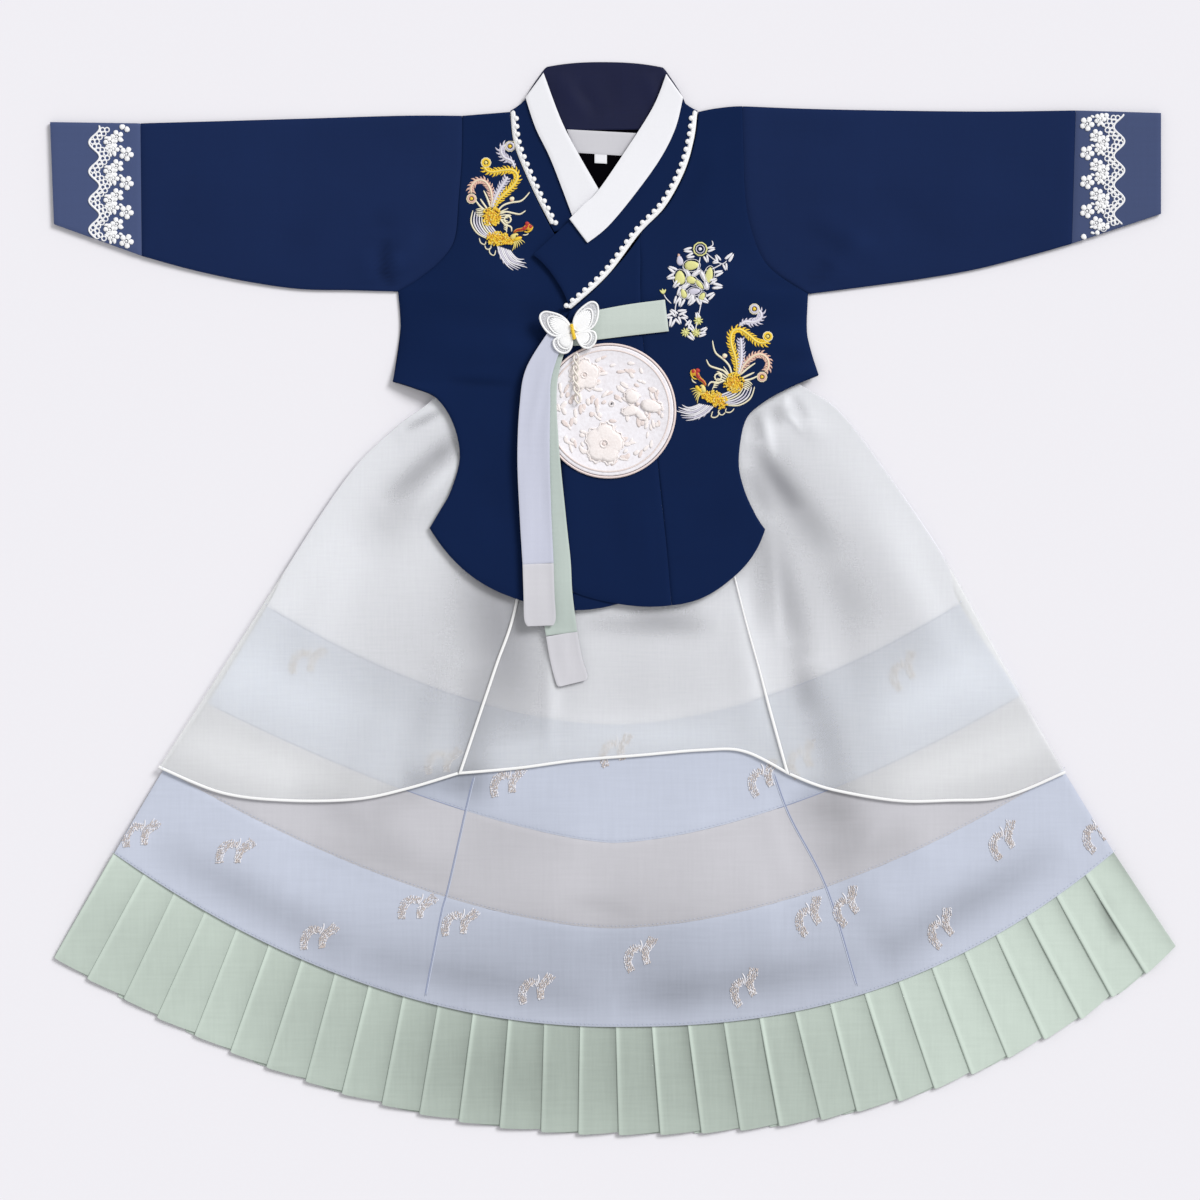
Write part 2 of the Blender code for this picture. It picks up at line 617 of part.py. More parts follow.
def pleat_columns(count):
    """Columns of the skirt that meet the flounce's pleats, which are evenly wide along their seam."""
    row = skirt_row("flounce")
    line = [skirt_point(row, share) for share in columns_between(-1, 1, 400)]
    columns = []
    for place in even(line, columns_between(0, 1, count)):
        columns.append(place.x / (row.right if place.x > 0 else -row.left))
    return columns


def make_skirt_bands(parts, finishes):
    """Waistband and the inner skirt's four bands, front and back."""
    names = [row.place for row in SKIRT]
    for side, is_front, count in (("front", True, PLEATS_FRONT), ("back", False, PLEATS_BACK)):
        columns = pleat_columns(count)
        for band, low, finish in BANDS:
            if band == "white":
                places = names[:names.index("upper_blue") + 1]
            else:
                places = [band, low]
            rows = [skirt_line(skirt_row(place), columns, is_front) for place in places]
            if band != "white" and is_front:
                middle = [a.lerp(b, 0.5) for a, b in zip(*rows)]
                rows.insert(1, middle)
            sheet(f"skirt_{band}_{side}", shrink(rows, top=SEAM, bottom=GAP), parts, finishes[finish])
        waist = skirt_line(skirt_row("waist"), columns_between(-1, 1, 4), is_front)
        low = [Vector((place.x, place.y + SEAM, place.z)) for place in waist]
        top = [Vector((place.x, WAISTBAND_TOP, place.z)) for place in waist]
        sheet(f"skirt_waistband_{side}", [top, low], parts, finishes["white_cloth"])


def pleat_profile(line, count):
    """Places and heights across a row of knife pleats, whose folds stand at the line's corners."""
    profile = []
    for i in range(count):
        start = line[i]
        end = line[i + 1]
        profile.append((start, 2))
        profile.append((end, 0))
        if i < count - 1:
            under = end + (line[i + 2] - end).normalized() * PLEAT_UNDERLAP
            profile.append((under, 0))
            profile.append((under, 1))
            profile.append((end, 1))
    return profile


def make_flounce(parts, finishes):
    """The pleated hem: each pleat's left fold lies on top and its right side runs under the next."""
    sides = (("front", PLEATS_FRONT, FLOUNCE_FRONT_Z), ("back", PLEATS_BACK, FLOUNCE_BACK_Z))
    for side, count, base in sides:
        rows = []
        for place in ("flounce", "hem"):
            line = [skirt_point(skirt_row(place), across) for across in pleat_columns(count)]
            profile = pleat_profile(line, count)
            rows.append([Vector((p.x, p.y, base + level * PLEAT_PITCH)) for p, level in profile])
        made = shrink(rows, top=SEAM)
        sheet(f"skirt_flounce_{side}", made, parts, finishes["green_cloth"], centred=True)


def overlay_rows(first, last, count, hem, is_front):
    """An overlay gore: the skirt's upper rows, then rows that come down to its own hem."""
    columns = columns_between(first, last, count)
    lift = OVERLAY_LIFT if is_front else -1.5
    falls = OVERLAY_FRONT_FALL if is_front else OVERLAY_BACK_FALL
    places = ("waist", "hip", "notch", "tip", "jacket_hem")
    rows = [skirt_line(skirt_row(place), columns, is_front, lift) for place in places]
    start = rows[-1]
    end = smooth(hem, count)
    for k, height in enumerate(falls):
        share = (k + 1) / len(falls)
        row = []
        for a, b in zip(start, end):
            place = Vector((a.x, a.y)).lerp(b, share)
            fold = fold_height(place.x, place.y) if is_front else 0.0
            row.append(Vector((place.x, place.y, height + fold)))
        rows.append(row)
    return rows


def make_overlay(parts, finishes):
    organza = finishes["organza"]
    white = finishes["binding"]
    gores = (
        ("left", -1, SEAM_LEFT, 9, HEM_LEFT),
        ("middle", SEAM_LEFT, SEAM_RIGHT, 8, HEM_MIDDLE),
        ("right", SEAM_RIGHT, 1, 8, HEM_RIGHT),
    )
    for name, first, last, count, hem in gores:
        rows = overlay_rows(first, last, count, hem, True)
        binding = [point.copy() for point in rows[-1]]
        if name == "middle":
            sides = [[row[i].copy() for row in rows[3:]] for i in (0, -1)]
            binding = sides[0][:-1] + binding + sides[1][-2::-1]
        sheet(f"overlay_{name}", shrink(rows, SEAM, SEAM), parts, organza)
        strip(f"overlay_binding_{name}", binding, BINDING, parts, white, lift=WALL + GAP)
    rows = overlay_rows(-1, 1, PLEATS_BACK, HEM_BACK, False)
    sheet("overlay_back", rows, parts, organza)


# ---------------------------------------------------------------- ties and ornaments
def tie_rows(table, count):
    """Rows across a tie, square to its centre line."""
    centres = [Vector((row.x, row.y, row.z)) for row in table]
    rows = []
    for i, row in enumerate(table):
        run = centres[min(i + 1, len(table) - 1)] - centres[max(i - 1, 0)]
        out = Vector((-run.y, run.x, 0)).normalized() * row.width / 2
        rows.append([centres[i] - out, centres[i], centres[i] + out])
    edges = [smooth([row[k] for row in rows], count) for k in range(3)]
    return [list(row) for row in zip(*edges)]


def make_ties(parts, finishes):
    grey = finishes["tie_grey"]
    sheet("tie_lavender", tie_rows(LAVENDER_TIE, TIE_ROWS), parts, finishes["lavender_cloth"])
    sheet("tie_lavender_end", tie_rows(LAVENDER_END, 4), parts, grey)
    sheet("tie_green", tie_rows(GREEN_TIE, TIE_ROWS), parts, finishes["tie_green"])
    sheet("tie_green_end", tie_rows(GREEN_END, 3), parts, grey)
    sheet("tie_loop", tie_rows(TIE_LOOP, 3), parts, finishes["tie_green"], wall=1.8)
    bpy.ops.mesh.primitive_cube_add(size=1)
    knot = bpy.context.object
    knot.name = "tie_knot"
    knot.data.name = "tie_knot"
    knot.data.transform(Matrix.Diagonal((*(Vector(KNOT_SIZE) * MM), 1)))
    knot.location = Vector((*KNOT_CENTRE, ORNAMENT_Z + 0.1 + KNOT_SIZE[2] / 2)) * MM
    move_to(knot, parts)
    knot.data.materials.append(finishes["tie_green"])
    round_edges = knot.modifiers.new("round", "BEVEL")
    round_edges.width = 0.8 * MM
    round_edges.segments = 2


def move_to(made, collection):
    for held in list(made.users_collection):
        held.objects.unlink(made)
    collection.objects.link(made)


def make_butterfly(parts, finishes):
    turn = Vector((math.cos(BUTTERFLY_TURN), math.sin(BUTTERFLY_TURN)))
    outline = WING_HALF + [(-x, y) for x, y in reversed(WING_HALF)]
    placed = []
    for x, y in outline:
        across = BUTTERFLY_PLACE[0] + x * turn.x - y * turn.y
        up = BUTTERFLY_PLACE[1] + x * turn.y + y * turn.x
        placed.append((across, up))
    plate("butterfly_wings", placed, BUTTERFLY_Z, WALL, parts, finishes["sheer_white"])
    half = BODY_LENGTH / 2
    height = BUTTERFLY_Z + WALL + GAP + BODY_RADIUS
    ends = []
    for along in (half, half / 2, 0, -half / 2, -half):
        ends.append((BUTTERFLY_PLACE[0] - along * turn.y, BUTTERFLY_PLACE[1] + along * turn.x, height))
    tube("butterfly_body", ends, BODY_RADIUS, parts, finishes["gold_thread"])
    tube("tassel_cord", TASSEL, TASSEL_RADIUS, parts, finishes["cream_cord"])


def make_medallion(parts, finishes):
    bpy.ops.mesh.primitive_cylinder_add(vertices=32, radius=MEDALLION_RADIUS * MM,
                                        depth=MEDALLION_THICK * MM)
    disc = bpy.context.object
    disc.name = "medallion"
    disc.data.name = "medallion"
    disc.location = Vector((*MEDALLION_CENTRE, ORNAMENT_Z + MEDALLION_THICK / 2)) * MM
    move_to(disc, parts)
    disc.data.materials.append(finishes["ivory_relief"])
    ring = MEDALLION_RADIUS + GAP + RIM_RADIUS
    bpy.ops.mesh.primitive_torus_add(major_segments=32, minor_segments=5,
                                     major_radius=ring * MM, minor_radius=RIM_RADIUS * MM)
    rim = bpy.context.object
    rim.name = "medallion_rim"
    rim.data.name = "medallion_rim"
    rim.location = Vector((*MEDALLION_CENTRE, ORNAMENT_Z + RIM_RADIUS)) * MM
    move_to(rim, parts)
    rim.data.materials.append(finishes["rose_rim"])


# ---------------------------------------------------------------- the whole garment
def main():
    for old in list(bpy.data.objects):
        bpy.data.objects.remove(old, do_unlink=True)
    parts = bpy.data.collections.new("korean_hanbok")
    bpy.context.scene.collection.children.link(parts)
    finishes = make_materials()
    make_jacket_body(parts, finishes)
    make_sleeves(parts, finishes)
    make_collar(parts, finishes)
    make_labels(parts, finishes)
    make_skirt_bands(parts, finishes)
    make_flounce(parts, finishes)
    make_overlay(parts, finishes)
    make_ties(parts, finishes)
    make_butterfly(parts, finishes)
    make_medallion(parts, finishes)


main()
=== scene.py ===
# %% [markdown]
# # A girl's Korean hanbok, laid flat
# The set is a long navy jacket over a layered skirt, lying on a pale floor and seen from straight
# above.  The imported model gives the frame: where each cloth piece lies.  This lesson makes the looks of
# every piece, from the woven cloth to the gold thread of the two phoenixes.

# %% Load the frame
import math
import random
from collections import namedtuple

import bmesh
import bpy
import numpy as np
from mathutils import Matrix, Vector
from mathutils.bvhtree import BVHTree


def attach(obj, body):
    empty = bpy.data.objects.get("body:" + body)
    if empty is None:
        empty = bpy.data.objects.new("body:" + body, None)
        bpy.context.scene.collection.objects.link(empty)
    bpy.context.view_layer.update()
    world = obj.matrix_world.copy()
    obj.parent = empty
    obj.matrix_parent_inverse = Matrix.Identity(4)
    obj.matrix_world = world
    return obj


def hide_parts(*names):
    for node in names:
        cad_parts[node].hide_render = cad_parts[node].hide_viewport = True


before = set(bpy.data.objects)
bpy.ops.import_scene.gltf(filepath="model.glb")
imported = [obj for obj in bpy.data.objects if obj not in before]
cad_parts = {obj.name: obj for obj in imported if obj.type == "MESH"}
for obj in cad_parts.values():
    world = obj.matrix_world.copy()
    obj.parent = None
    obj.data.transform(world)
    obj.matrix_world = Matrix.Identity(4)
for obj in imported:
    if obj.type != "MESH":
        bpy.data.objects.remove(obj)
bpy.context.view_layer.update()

# %% [markdown]
# ## Sizes
# A maker cuts cloth in millimetres, so every size here is in millimetres and MM turns it into metres
# when a mesh is made.  X runs across the garment, Y from the hem to the collar, and Z up from the floor.
# The heights are those of the frame: each layer lies 1.4 mm over the one below it.

# %% Driving sizes
MM = 0.001
WALL = 0.8                 # thickness of the cloth that shows
LAYER = 1.4                # from one layer's underside to the next
INNER = 9.8                # underside of the inner front, over the skirt
OUTER = INNER + LAYER
ORNAMENT_Z = OUTER + LAYER
pieces_made = {}


def mm(*numbers):
    """Millimetres as a point in metres."""
    return Vector(numbers) * MM


def shown(name, data):
    """A new object in the scene, at its origin."""
    made = bpy.data.objects.new(name, data)
    bpy.context.scene.collection.objects.link(made)
    return made


def mesh_of(name, shape, rounded=True):
    """A finished bmesh as a mesh, shaded smoothly where asked."""
    for face in shape.faces:
        face.smooth = rounded
    mesh = bpy.data.meshes.new(name)
    shape.to_mesh(mesh)
    shape.free()
    return mesh


# %% [markdown]
# ## Camera, floor and light
# A garment laid flat is seen best from straight above through a long lens, so nothing leans.  The floor is
# pale and plain.  Half of the light comes evenly from all round, as in a light tent, and one broad soft
# lamp at the upper right, far enough away to be even, gives the folds their lit and shaded sides.

# %% The view from above
VIEW_WIDTH = 930           # what the picture's width covers at the floor
VIEW_CENTRE = (-10.3, 0.0)
LENS = 120.0
SENSOR = 36.0
FAR_LIMIT = 20             # metres
camera_height = VIEW_WIDTH * LENS / SENSOR
lens = bpy.data.cameras.new("view")
lens.lens = LENS
lens.sensor_width = SENSOR
lens.clip_end = FAR_LIMIT
camera = shown("view", lens)
camera.location = mm(*VIEW_CENTRE, camera_height)
bpy.context.scene.camera = camera
bpy.context.scene.view_settings.view_transform = "Standard"
print("the camera hangs", round(camera_height), "mm over the floor")

# %% Soft light
LIGHT_LEVEL = 1.08         # how far the lights lift a plain tone
SKY_STRENGTH = 0.605
LAMP_STRENGTH = 2.48
LAMP_SIZE = math.radians(24)
LAMP_FROM = Vector((1.25, 1.1, 1.35))
lamp_data = bpy.data.lights.new("studio_lamp", "SUN")
lamp_data.energy = LAMP_STRENGTH
lamp_data.angle = LAMP_SIZE
lamp = shown("studio_lamp", lamp_data)
lamp.location = LAMP_FROM
lamp.rotation_euler = (-LAMP_FROM).to_track_quat("-Z", "Y").to_euler()
sky = bpy.data.worlds.new("sky")
bpy.context.scene.world = sky
sky.use_nodes = True
glow = sky.node_tree.nodes["Background"].inputs
glow["Color"].default_value = (1.0, 1.0, 1.0, 1)
glow["Strength"].default_value = SKY_STRENGTH

# %% [markdown]
# ## Curves in numbers
# Cloth edges are smooth but turn sharply at a seam's end.  A Catmull-Rom curve passes through every
# point of a table, so the tables stay short, and a list of corners says where the curve may break.


# %% Smooth lines through table points
def spans(points, steps):
    """A smooth curve through the points, with the given steps in each span."""
    points = np.asarray(points, float)
    if len(points) == 2:
        share = np.linspace(0, 1, steps + 1).reshape((-1,) + (1,) * (points.ndim - 1))
        return points[0] * (1 - share) + points[1] * share
    before = np.concatenate([points[:1], points[:-2]])
    here = points[:-1]
    there = points[1:]
    after = np.concatenate([points[2:], points[-1:]])
    lines = []
    for k in range(steps):
        t = k / steps
        pull = (there - before) * t + (2 * before - 5 * here + 4 * there - after) * t * t
        twist = (3 * here - before - 3 * there + after) * t ** 3
        lines.append(here + 0.5 * (pull + twist))
    flat = np.stack(lines, axis=1).reshape((-1,) + points.shape[1:])
    return np.concatenate([flat, points[-1:]])


def flow(points, steps, corners=()):
    """Like spans, but the curve may turn sharply at the corners' indices."""
    marks = [0, *corners, len(points) - 1]
    parts = [spans(points[a:b + 1], steps) for a, b in zip(marks, marks[1:])]
    return np.concatenate([parts[0]] + [part[1:] for part in parts[1:]])


def steps_of(line):
    """The length of each step along a line, seen from above."""
    return np.linalg.norm(np.diff(line[:, :2], axis=0), axis=1)


def even(line, count):
    """count + 1 places at even spacing along a line."""
    line = np.asarray(line, float)
    steps = steps_of(line)
    travelled = np.concatenate([[0], np.cumsum(steps)])
    wanted = np.linspace(0, travelled[-1], count + 1)
    return np.stack([np.interp(wanted, travelled, line[:, k]) for k in range(line.shape[1])], axis=1)


def smooth(points, count):
    return even(spans(points, 12), count)


def mix(first, second, share):
    return first + (second - first) * share


def square_to(ahead):
    """Unit directions to the left of the given ones."""
    out = np.stack([-ahead[:, 1], ahead[:, 0]], axis=1)
    return out / np.maximum(np.linalg.norm(out, axis=1, keepdims=True), 1e-6)


def beside(line, away, side):
    """A line moved sideways by a distance."""
    return line + square_to(np.gradient(line, axis=0)) * side * away


def turned(x, y, radius, angle):
    """The place at a radius and an angle in degrees from another place."""
    return x + radius * math.cos(math.radians(angle)), y + radius * math.sin(math.radians(angle))


def oval(x, y, half_long, half_wide, angle=0, count=10):
    """A closed line round a place, its length at an angle in degrees."""
    turn = np.linspace(0, 2 * math.pi, count)
    lean = math.radians(angle)
    along, across = half_long * np.cos(turn), half_wide * np.sin(turn)
    return np.stack([x + along * math.cos(lean) - across * math.sin(lean),
                     y + along * math.sin(lean) + across * math.cos(lean)], axis=1)


print("curve helpers are ready:", smooth([(0, 0), (10, 5), (20, 0)], 4).round(1).tolist())

# %% [markdown]
# ## Materials as sums
# A cloth's colour is a sum of small effects: threads, slubs, a broad cloudiness.  Wire wraps a node's
# output so that such a sum can be written as one line of arithmetic, and each sign adds a Math node.
# Recipe adds any other node from its type, its settings and the values or wires of its sockets.


# %% Wires and recipes
class Wire:
    """One node output that takes part in sums."""

    def __init__(self, recipe, socket):
        self.recipe = recipe
        self.socket = socket

    def sum(self, operation, first, second):
        return self.recipe.add("ShaderNodeMath", {"operation": operation}, {0: first, 1: second})

    def __add__(self, other):
        return self.sum("ADD", self, other)

    def __sub__(self, other):
        return self.sum("SUBTRACT", self, other)

    def __rsub__(self, other):
        return self.sum("SUBTRACT", other, self)

    def __mul__(self, other):
        return self.sum("MULTIPLY", self, other)

    __radd__ = __add__
    __rmul__ = __mul__


class Recipe:
    """A material under construction, with one method for every kind of node."""

    def __init__(self, name):
        self.material = bpy.data.materials.new(name)
        self.material.use_nodes = True
        self.tree = self.material.node_tree
        self.shader = self.tree.nodes["Principled BSDF"]
        self.place = self.add("ShaderNodeTexCoord", {}, {}, "Object")

    def plug(self, socket, value):
        if isinstance(value, Wire):
            self.tree.links.new(value.socket, socket)
        else:
            socket.default_value = value

    def look(self, **values):
        """Values or wires for the shader's sockets; an underscore stands for a space."""
        for key, value in values.items():
            self.plug(self.shader.inputs[key.replace("_", " ")], value)

    def add(self, kind, settings, inputs, output=0):
        node = self.tree.nodes.new(kind)
        for key, value in settings.items():
            setattr(node, key, value)
        for key, value in inputs.items():
            self.plug(node.inputs[key], value)
        return Wire(self, node.outputs[output])

    def noise(self, size_mm, stretch=(1, 1, 1), detail=3.0, turn=0.0):
        """Soft noise whose spots are about size_mm across, stretched along an axis where asked."""
        at = self.add("ShaderNodeMapping", {}, {"Vector": self.place, "Scale": stretch,
                                                "Rotation": (0, 0, turn)})
        return self.add("ShaderNodeTexNoise", {}, {"Vector": at, "Scale": 1 / (size_mm * MM),
                                                   "Detail": detail}, "Fac")

    def threads(self, pitch_mm, axis, turn=0.0):
        """Bands across an axis, one for each thread."""
        at = self.add("ShaderNodeMapping", {}, {"Vector": self.place, "Rotation": (0, 0, turn)})
        return self.add("ShaderNodeTexWave", {"bands_direction": axis}, {
            "Vector": at, "Scale": 0.314 / (pitch_mm * MM), "Distortion": 1.6,
            "Detail": 1.0, "Detail Scale": 0.6}, "Fac")

    def tint(self, share, first, second):
        """A colour between two, by a share from 0 to 1."""
        return self.add("ShaderNodeMix", {"data_type": "RGBA"}, {"Factor": share, 6: (*first, 1),
                                                                 7: (*second, 1)}, 2)

    def bump(self, height, depth_mm, strength=1.0):
        return self.add("ShaderNodeBump", {}, {"Height": height, "Distance": depth_mm * MM,
                                               "Strength": strength})


def colour(red, green, blue):
    """Screen values from 0 to 255 as the linear values that shaders use, less the lights' lift."""
    shares = np.array([red, green, blue]) / 255
    linear = [s / 12.92 if s <= 0.04045 else ((s + 0.055) / 1.055) ** 2.4 for s in shares]
    return tuple(float(value) / LIGHT_LEVEL for value in linear)


def shade(base, factor):
    return tuple(min(1.0, channel * factor) for channel in base)


# %% [markdown]
# ## Woven cloth
# All the plain cloths are one recipe: warp and weft threads as crossing bands, slubs as noise drawn out
# along each thread, and a broad cloudiness where the cloth catches the light unevenly.  The sheer
# cloths use the same recipe with an alpha below one that rises a little on each thread.  Shade is
# painted into each cloth's colour: each mesh carries a painted-shade number at its points, for its
# hollows where layers shade each other, its gathers and seams and the jacket hem's cast shadow, and the
# recipe deepens its tone by that share; below zero the number is a painted highlight.

# %% The cloth recipe
FINISHES = {}
DEEP = 0.35                # the darkest share of a tone, under full painted shade
BRIGHT = 1.15


def woven(name, tone, rough, pitch=0.9, slub=0.5, relief=0.12, sheen=0.25, alpha=1.0, cloudy=0.10,
          gloss=0.3):
    """A plain woven cloth; alpha below one makes it sheer."""
    recipe = Recipe(name)
    warp = recipe.threads(pitch, "X")
    weft = recipe.threads(pitch, "Y")
    long_slub = recipe.noise(pitch * 2.2, (1, 0.06, 1), 2)
    cross_slub = recipe.noise(pitch * 2.2, (0.06, 1, 1), 2)
    cloud = recipe.noise(60, (1, 0.7, 1), 4)
    weave = warp * weft
    streaks = long_slub * 0.5 + cross_slub * 0.5
    value = streaks * slub + weave * (0.5 - 0.3 * slub) + cloud * (0.6 - slub * 0.4)
    # The mesh's painted-shade number deepens the tone, and lightens it as a painted highlight below zero.
    painted_shade = recipe.add("ShaderNodeAttribute", {"attribute_name": "painted_shade"}, {}, "Fac")
    plain = (1 - DEEP) / (BRIGHT - DEEP)
    share = (value - 0.5) * (2.6 * cloudy / (BRIGHT - DEEP)) + plain - painted_shade
    recipe.look(Base_Color=recipe.tint(share, shade(tone, DEEP), shade(tone, BRIGHT)),
                Roughness=streaks * 0.16 + (rough - 0.08),
                Normal=recipe.bump(weave + streaks * 0.8, relief, 0.6),
                Sheen_Weight=sheen, Sheen_Roughness=0.5, Specular_IOR_Level=gloss)
    if alpha < 1:
        recipe.look(Alpha=streaks * 0.08 + (alpha - 0.04))
    FINISHES[name] = recipe.material


def thread(name, tone, rough=0.5, grain=0.7, deep=0.72, deep_tone=None):
    """Embroidery thread or cord: short strands with painted shade in the gaps between them."""
    recipe = Recipe(name)
    strand = recipe.noise(grain, (1, 1, 1), 4)
    patch = recipe.noise(grain * 9, (1, 1, 1), 2)
    value = strand * 0.75 + patch * 0.35 - 0.05
    low = deep_tone or shade(tone, deep)
    recipe.look(Base_Color=recipe.tint(value, low, shade(tone, 1.12)),
                Roughness=strand * 0.2 + (rough - 0.1),
                Normal=recipe.bump(strand, 0.25, 0.8), Sheen_Weight=0.2)
    FINISHES[name] = recipe.material


woven("jacket_navy", colour(15, 33, 71), 0.85, pitch=0.8, slub=0.4, cloudy=0.12, sheen=0.0, gloss=0.06)
woven("sleeve_navy", colour(24, 40, 79), 0.85, pitch=0.8, slub=0.4, cloudy=0.13, sheen=0.0, gloss=0.06)
woven("lining_satin", colour(19, 24, 57), 0.5, pitch=0.7, slub=0.5, cloudy=0.25, sheen=0.0, gloss=0.16)
# Near-black lining: the lining's own dark tone, deepened into painted shadow inside the jacket.
woven("lining_painted_shadow", colour(4, 3, 7), 0.8, pitch=0.7, slub=0.5, cloudy=0.2, sheen=0.0, gloss=0.02)
woven("cuff_slate", colour(68, 81, 120), 0.75, pitch=0.9, slub=0.55, cloudy=0.08, sheen=0.05, gloss=0.2)
woven("strip_white", colour(240, 240, 245), 0.5, pitch=0.6, slub=0.2, cloudy=0.02, sheen=0.1)
woven("label_satin", colour(206, 205, 211), 0.35, pitch=0.6, slub=0.6, cloudy=0.05, sheen=0.1)
woven("skirt_white", colour(232, 232, 240), 0.75, pitch=0.9, slub=0.75, relief=0.03, cloudy=0.04)
woven("skirt_blue", colour(194, 200, 216), 0.7, pitch=0.9, slub=0.75, relief=0.04, cloudy=0.09)
woven("skirt_grey", colour(197, 196, 202), 0.75, pitch=0.9, slub=0.75, relief=0.04, cloudy=0.08)
woven("skirt_green", colour(198, 211, 201), 0.75, pitch=0.9, slub=0.8, relief=0.05, cloudy=0.09)
woven("organza_white", (0.855, 0.868, 0.97), 0.6, pitch=0.7, slub=0.4, relief=0.02, cloudy=0.01,
      alpha=0.31, sheen=0.1)
woven("binding_white", colour(252, 252, 254), 0.45, pitch=0.6, slub=0.3, cloudy=0.02)
woven("tie_lavender", colour(199, 202, 219), 0.7, pitch=0.9, slub=0.6, cloudy=0.04)
woven("tie_green", colour(188, 200, 194), 0.7, pitch=0.9, slub=0.7, cloudy=0.05)
woven("loop_green", colour(197, 207, 200), 0.7, pitch=0.9, slub=0.7, cloudy=0.05)
woven("tie_grey", colour(208, 207, 213), 0.7, pitch=0.9, slub=0.6, cloudy=0.04)
woven("butterfly_sheer", colour(244, 244, 248), 0.5, pitch=0.5, slub=0.3, cloudy=0.04, alpha=0.5)
thread("lace_white", colour(250, 250, 252), 0.7, grain=0.6, deep=0.84)
thread("thread_gold", colour(255, 212, 40), 0.5, deep=0.7)
thread("thread_amber", colour(232, 170, 30), 0.5, deep=0.66)
thread("thread_pale_gold", colour(240, 222, 128), 0.5, deep=0.78)
thread("thread_cream", colour(244, 236, 204), 0.5, deep=0.8)
thread("thread_pink", colour(228, 186, 168), 0.5, deep=0.8)
thread("thread_silver", colour(214, 210, 226), 0.45, deep=0.76)
thread("thread_white", colour(240, 238, 243), 0.5, deep=0.78)
thread("thread_red", colour(196, 36, 28), 0.5, deep=0.6)
thread("thread_yellow", colour(226, 224, 146), 0.5, deep=0.8)
thread("thread_beige", colour(210, 199, 194), 0.5, deep=0.8)
# Seam threads: a light one for stitches and for painted highlights beside gore seams, a dark one for seam
# lines and painted seam shadows.
thread("thread_stitch_and_highlight", colour(190, 197, 216), 0.6, deep=0.9)
thread("thread_dark_seam_and_shadow", colour(146, 155, 184), 0.6, deep=0.9)
thread("tassel_cream", colour(243, 236, 226), 0.5, deep=0.78)
thread("satin_white", colour(252, 252, 254), 0.4, grain=0.5, deep=0.9)
thread("relief_ivory", colour(247, 243, 243), 0.65, grain=1.8, deep_tone=colour(232, 219, 215))
thread("relief_blush", colour(238, 228, 225), 0.65, grain=1.4, deep_tone=colour(216, 197, 192))
thread("relief_ground", colour(244, 244, 252), 0.65, grain=2.6, deep_tone=colour(224, 216, 219))
thread("rim_rose", colour(238, 220, 216), 0.55, grain=1.2, deep=0.88)
thread("dark_dot", colour(70, 64, 62), 0.6)
print("finishes:", ", ".join(FINISHES))

# %% The floor
FLOOR_HALF = 6.0           # metres
PAPER_TONES = ((0.793, 0.780, 0.820), (0.804, 0.791, 0.830))
ground = bmesh.new()
bmesh.ops.create_grid(ground, x_segments=8, y_segments=8, size=FLOOR_HALF)
floor = shown("floor", mesh_of("floor", ground, False))
paper = Recipe("floor_paper")
fleck = paper.noise(3.0)
paper.look(Base_Color=paper.tint(fleck, *PAPER_TONES), Roughness=fleck * 0.1 + 0.85, Specular_IOR_Level=0.0)
floor.data.materials.append(paper.material)

# %% [markdown]
# ## Laying cloth
# A laid panel is a grid of points bent to its outline, with a thin wall from Solidify.  The grid operator
# makes the mesh, and the rows of numbers only say where its points lie.  Creases are added one by one: each
# is a soft ridge or trough from one place to another, and they are as uneven as real handling leaves them.

# %% The cloth builder
# A crease's shade paints shade into the cloth's colour along it, and a painted highlight below zero.
Crease = namedtuple("Crease", "x_from y_from x_to y_to height width shade", defaults=[0.0])
FLAT_WEIGHT = 90           # how far broad faces decide the shading of an edge


def spread_of(grid, crease):
    """How much of a crease each grid point has: one along its middle, fading to its sides and ends."""
    x, y = grid[..., 0], grid[..., 1]
    run_x = crease.x_to - crease.x_from
    run_y = crease.y_to - crease.y_from
    share = ((x - crease.x_from) * run_x + (y - crease.y_from) * run_y) / (run_x ** 2 + run_y ** 2)
    inside = np.clip(share, 0, 1)
    away = np.hypot(x - crease.x_from - inside * run_x, y - crease.y_from - inside * run_y)
    return np.sin(np.pi * inside) ** 0.7 * np.exp(-(away / crease.width) ** 2)


def creased(grid, creases):
    """Add soft ridges and troughs to a grid of points."""
    bent = grid.copy()
    bent[..., 2] += sum(crease.height * spread_of(grid, crease) for crease in creases)
    return bent


def painted_shade_of(grid, creases):
    """The painted shade of each grid point, from the creases' shades; below zero it is a painted highlight.
    """
    return sum(crease.shade * spread_of(grid, crease) for crease in creases)


def rolled(grid, left=0, right=0, top=0, bottom=0, drop=0.5):
    """Roll the edges of a panel down a little where they are turned under or sewn."""
    bent = grid.copy()
    for wanted, index in ((left, (slice(None), 0)), (right, (slice(None), -1)),
                          (top, (0, slice(None))), (bottom, (-1, slice(None)))):
        if wanted:
            bent[index][..., 2] -= drop
    return bent


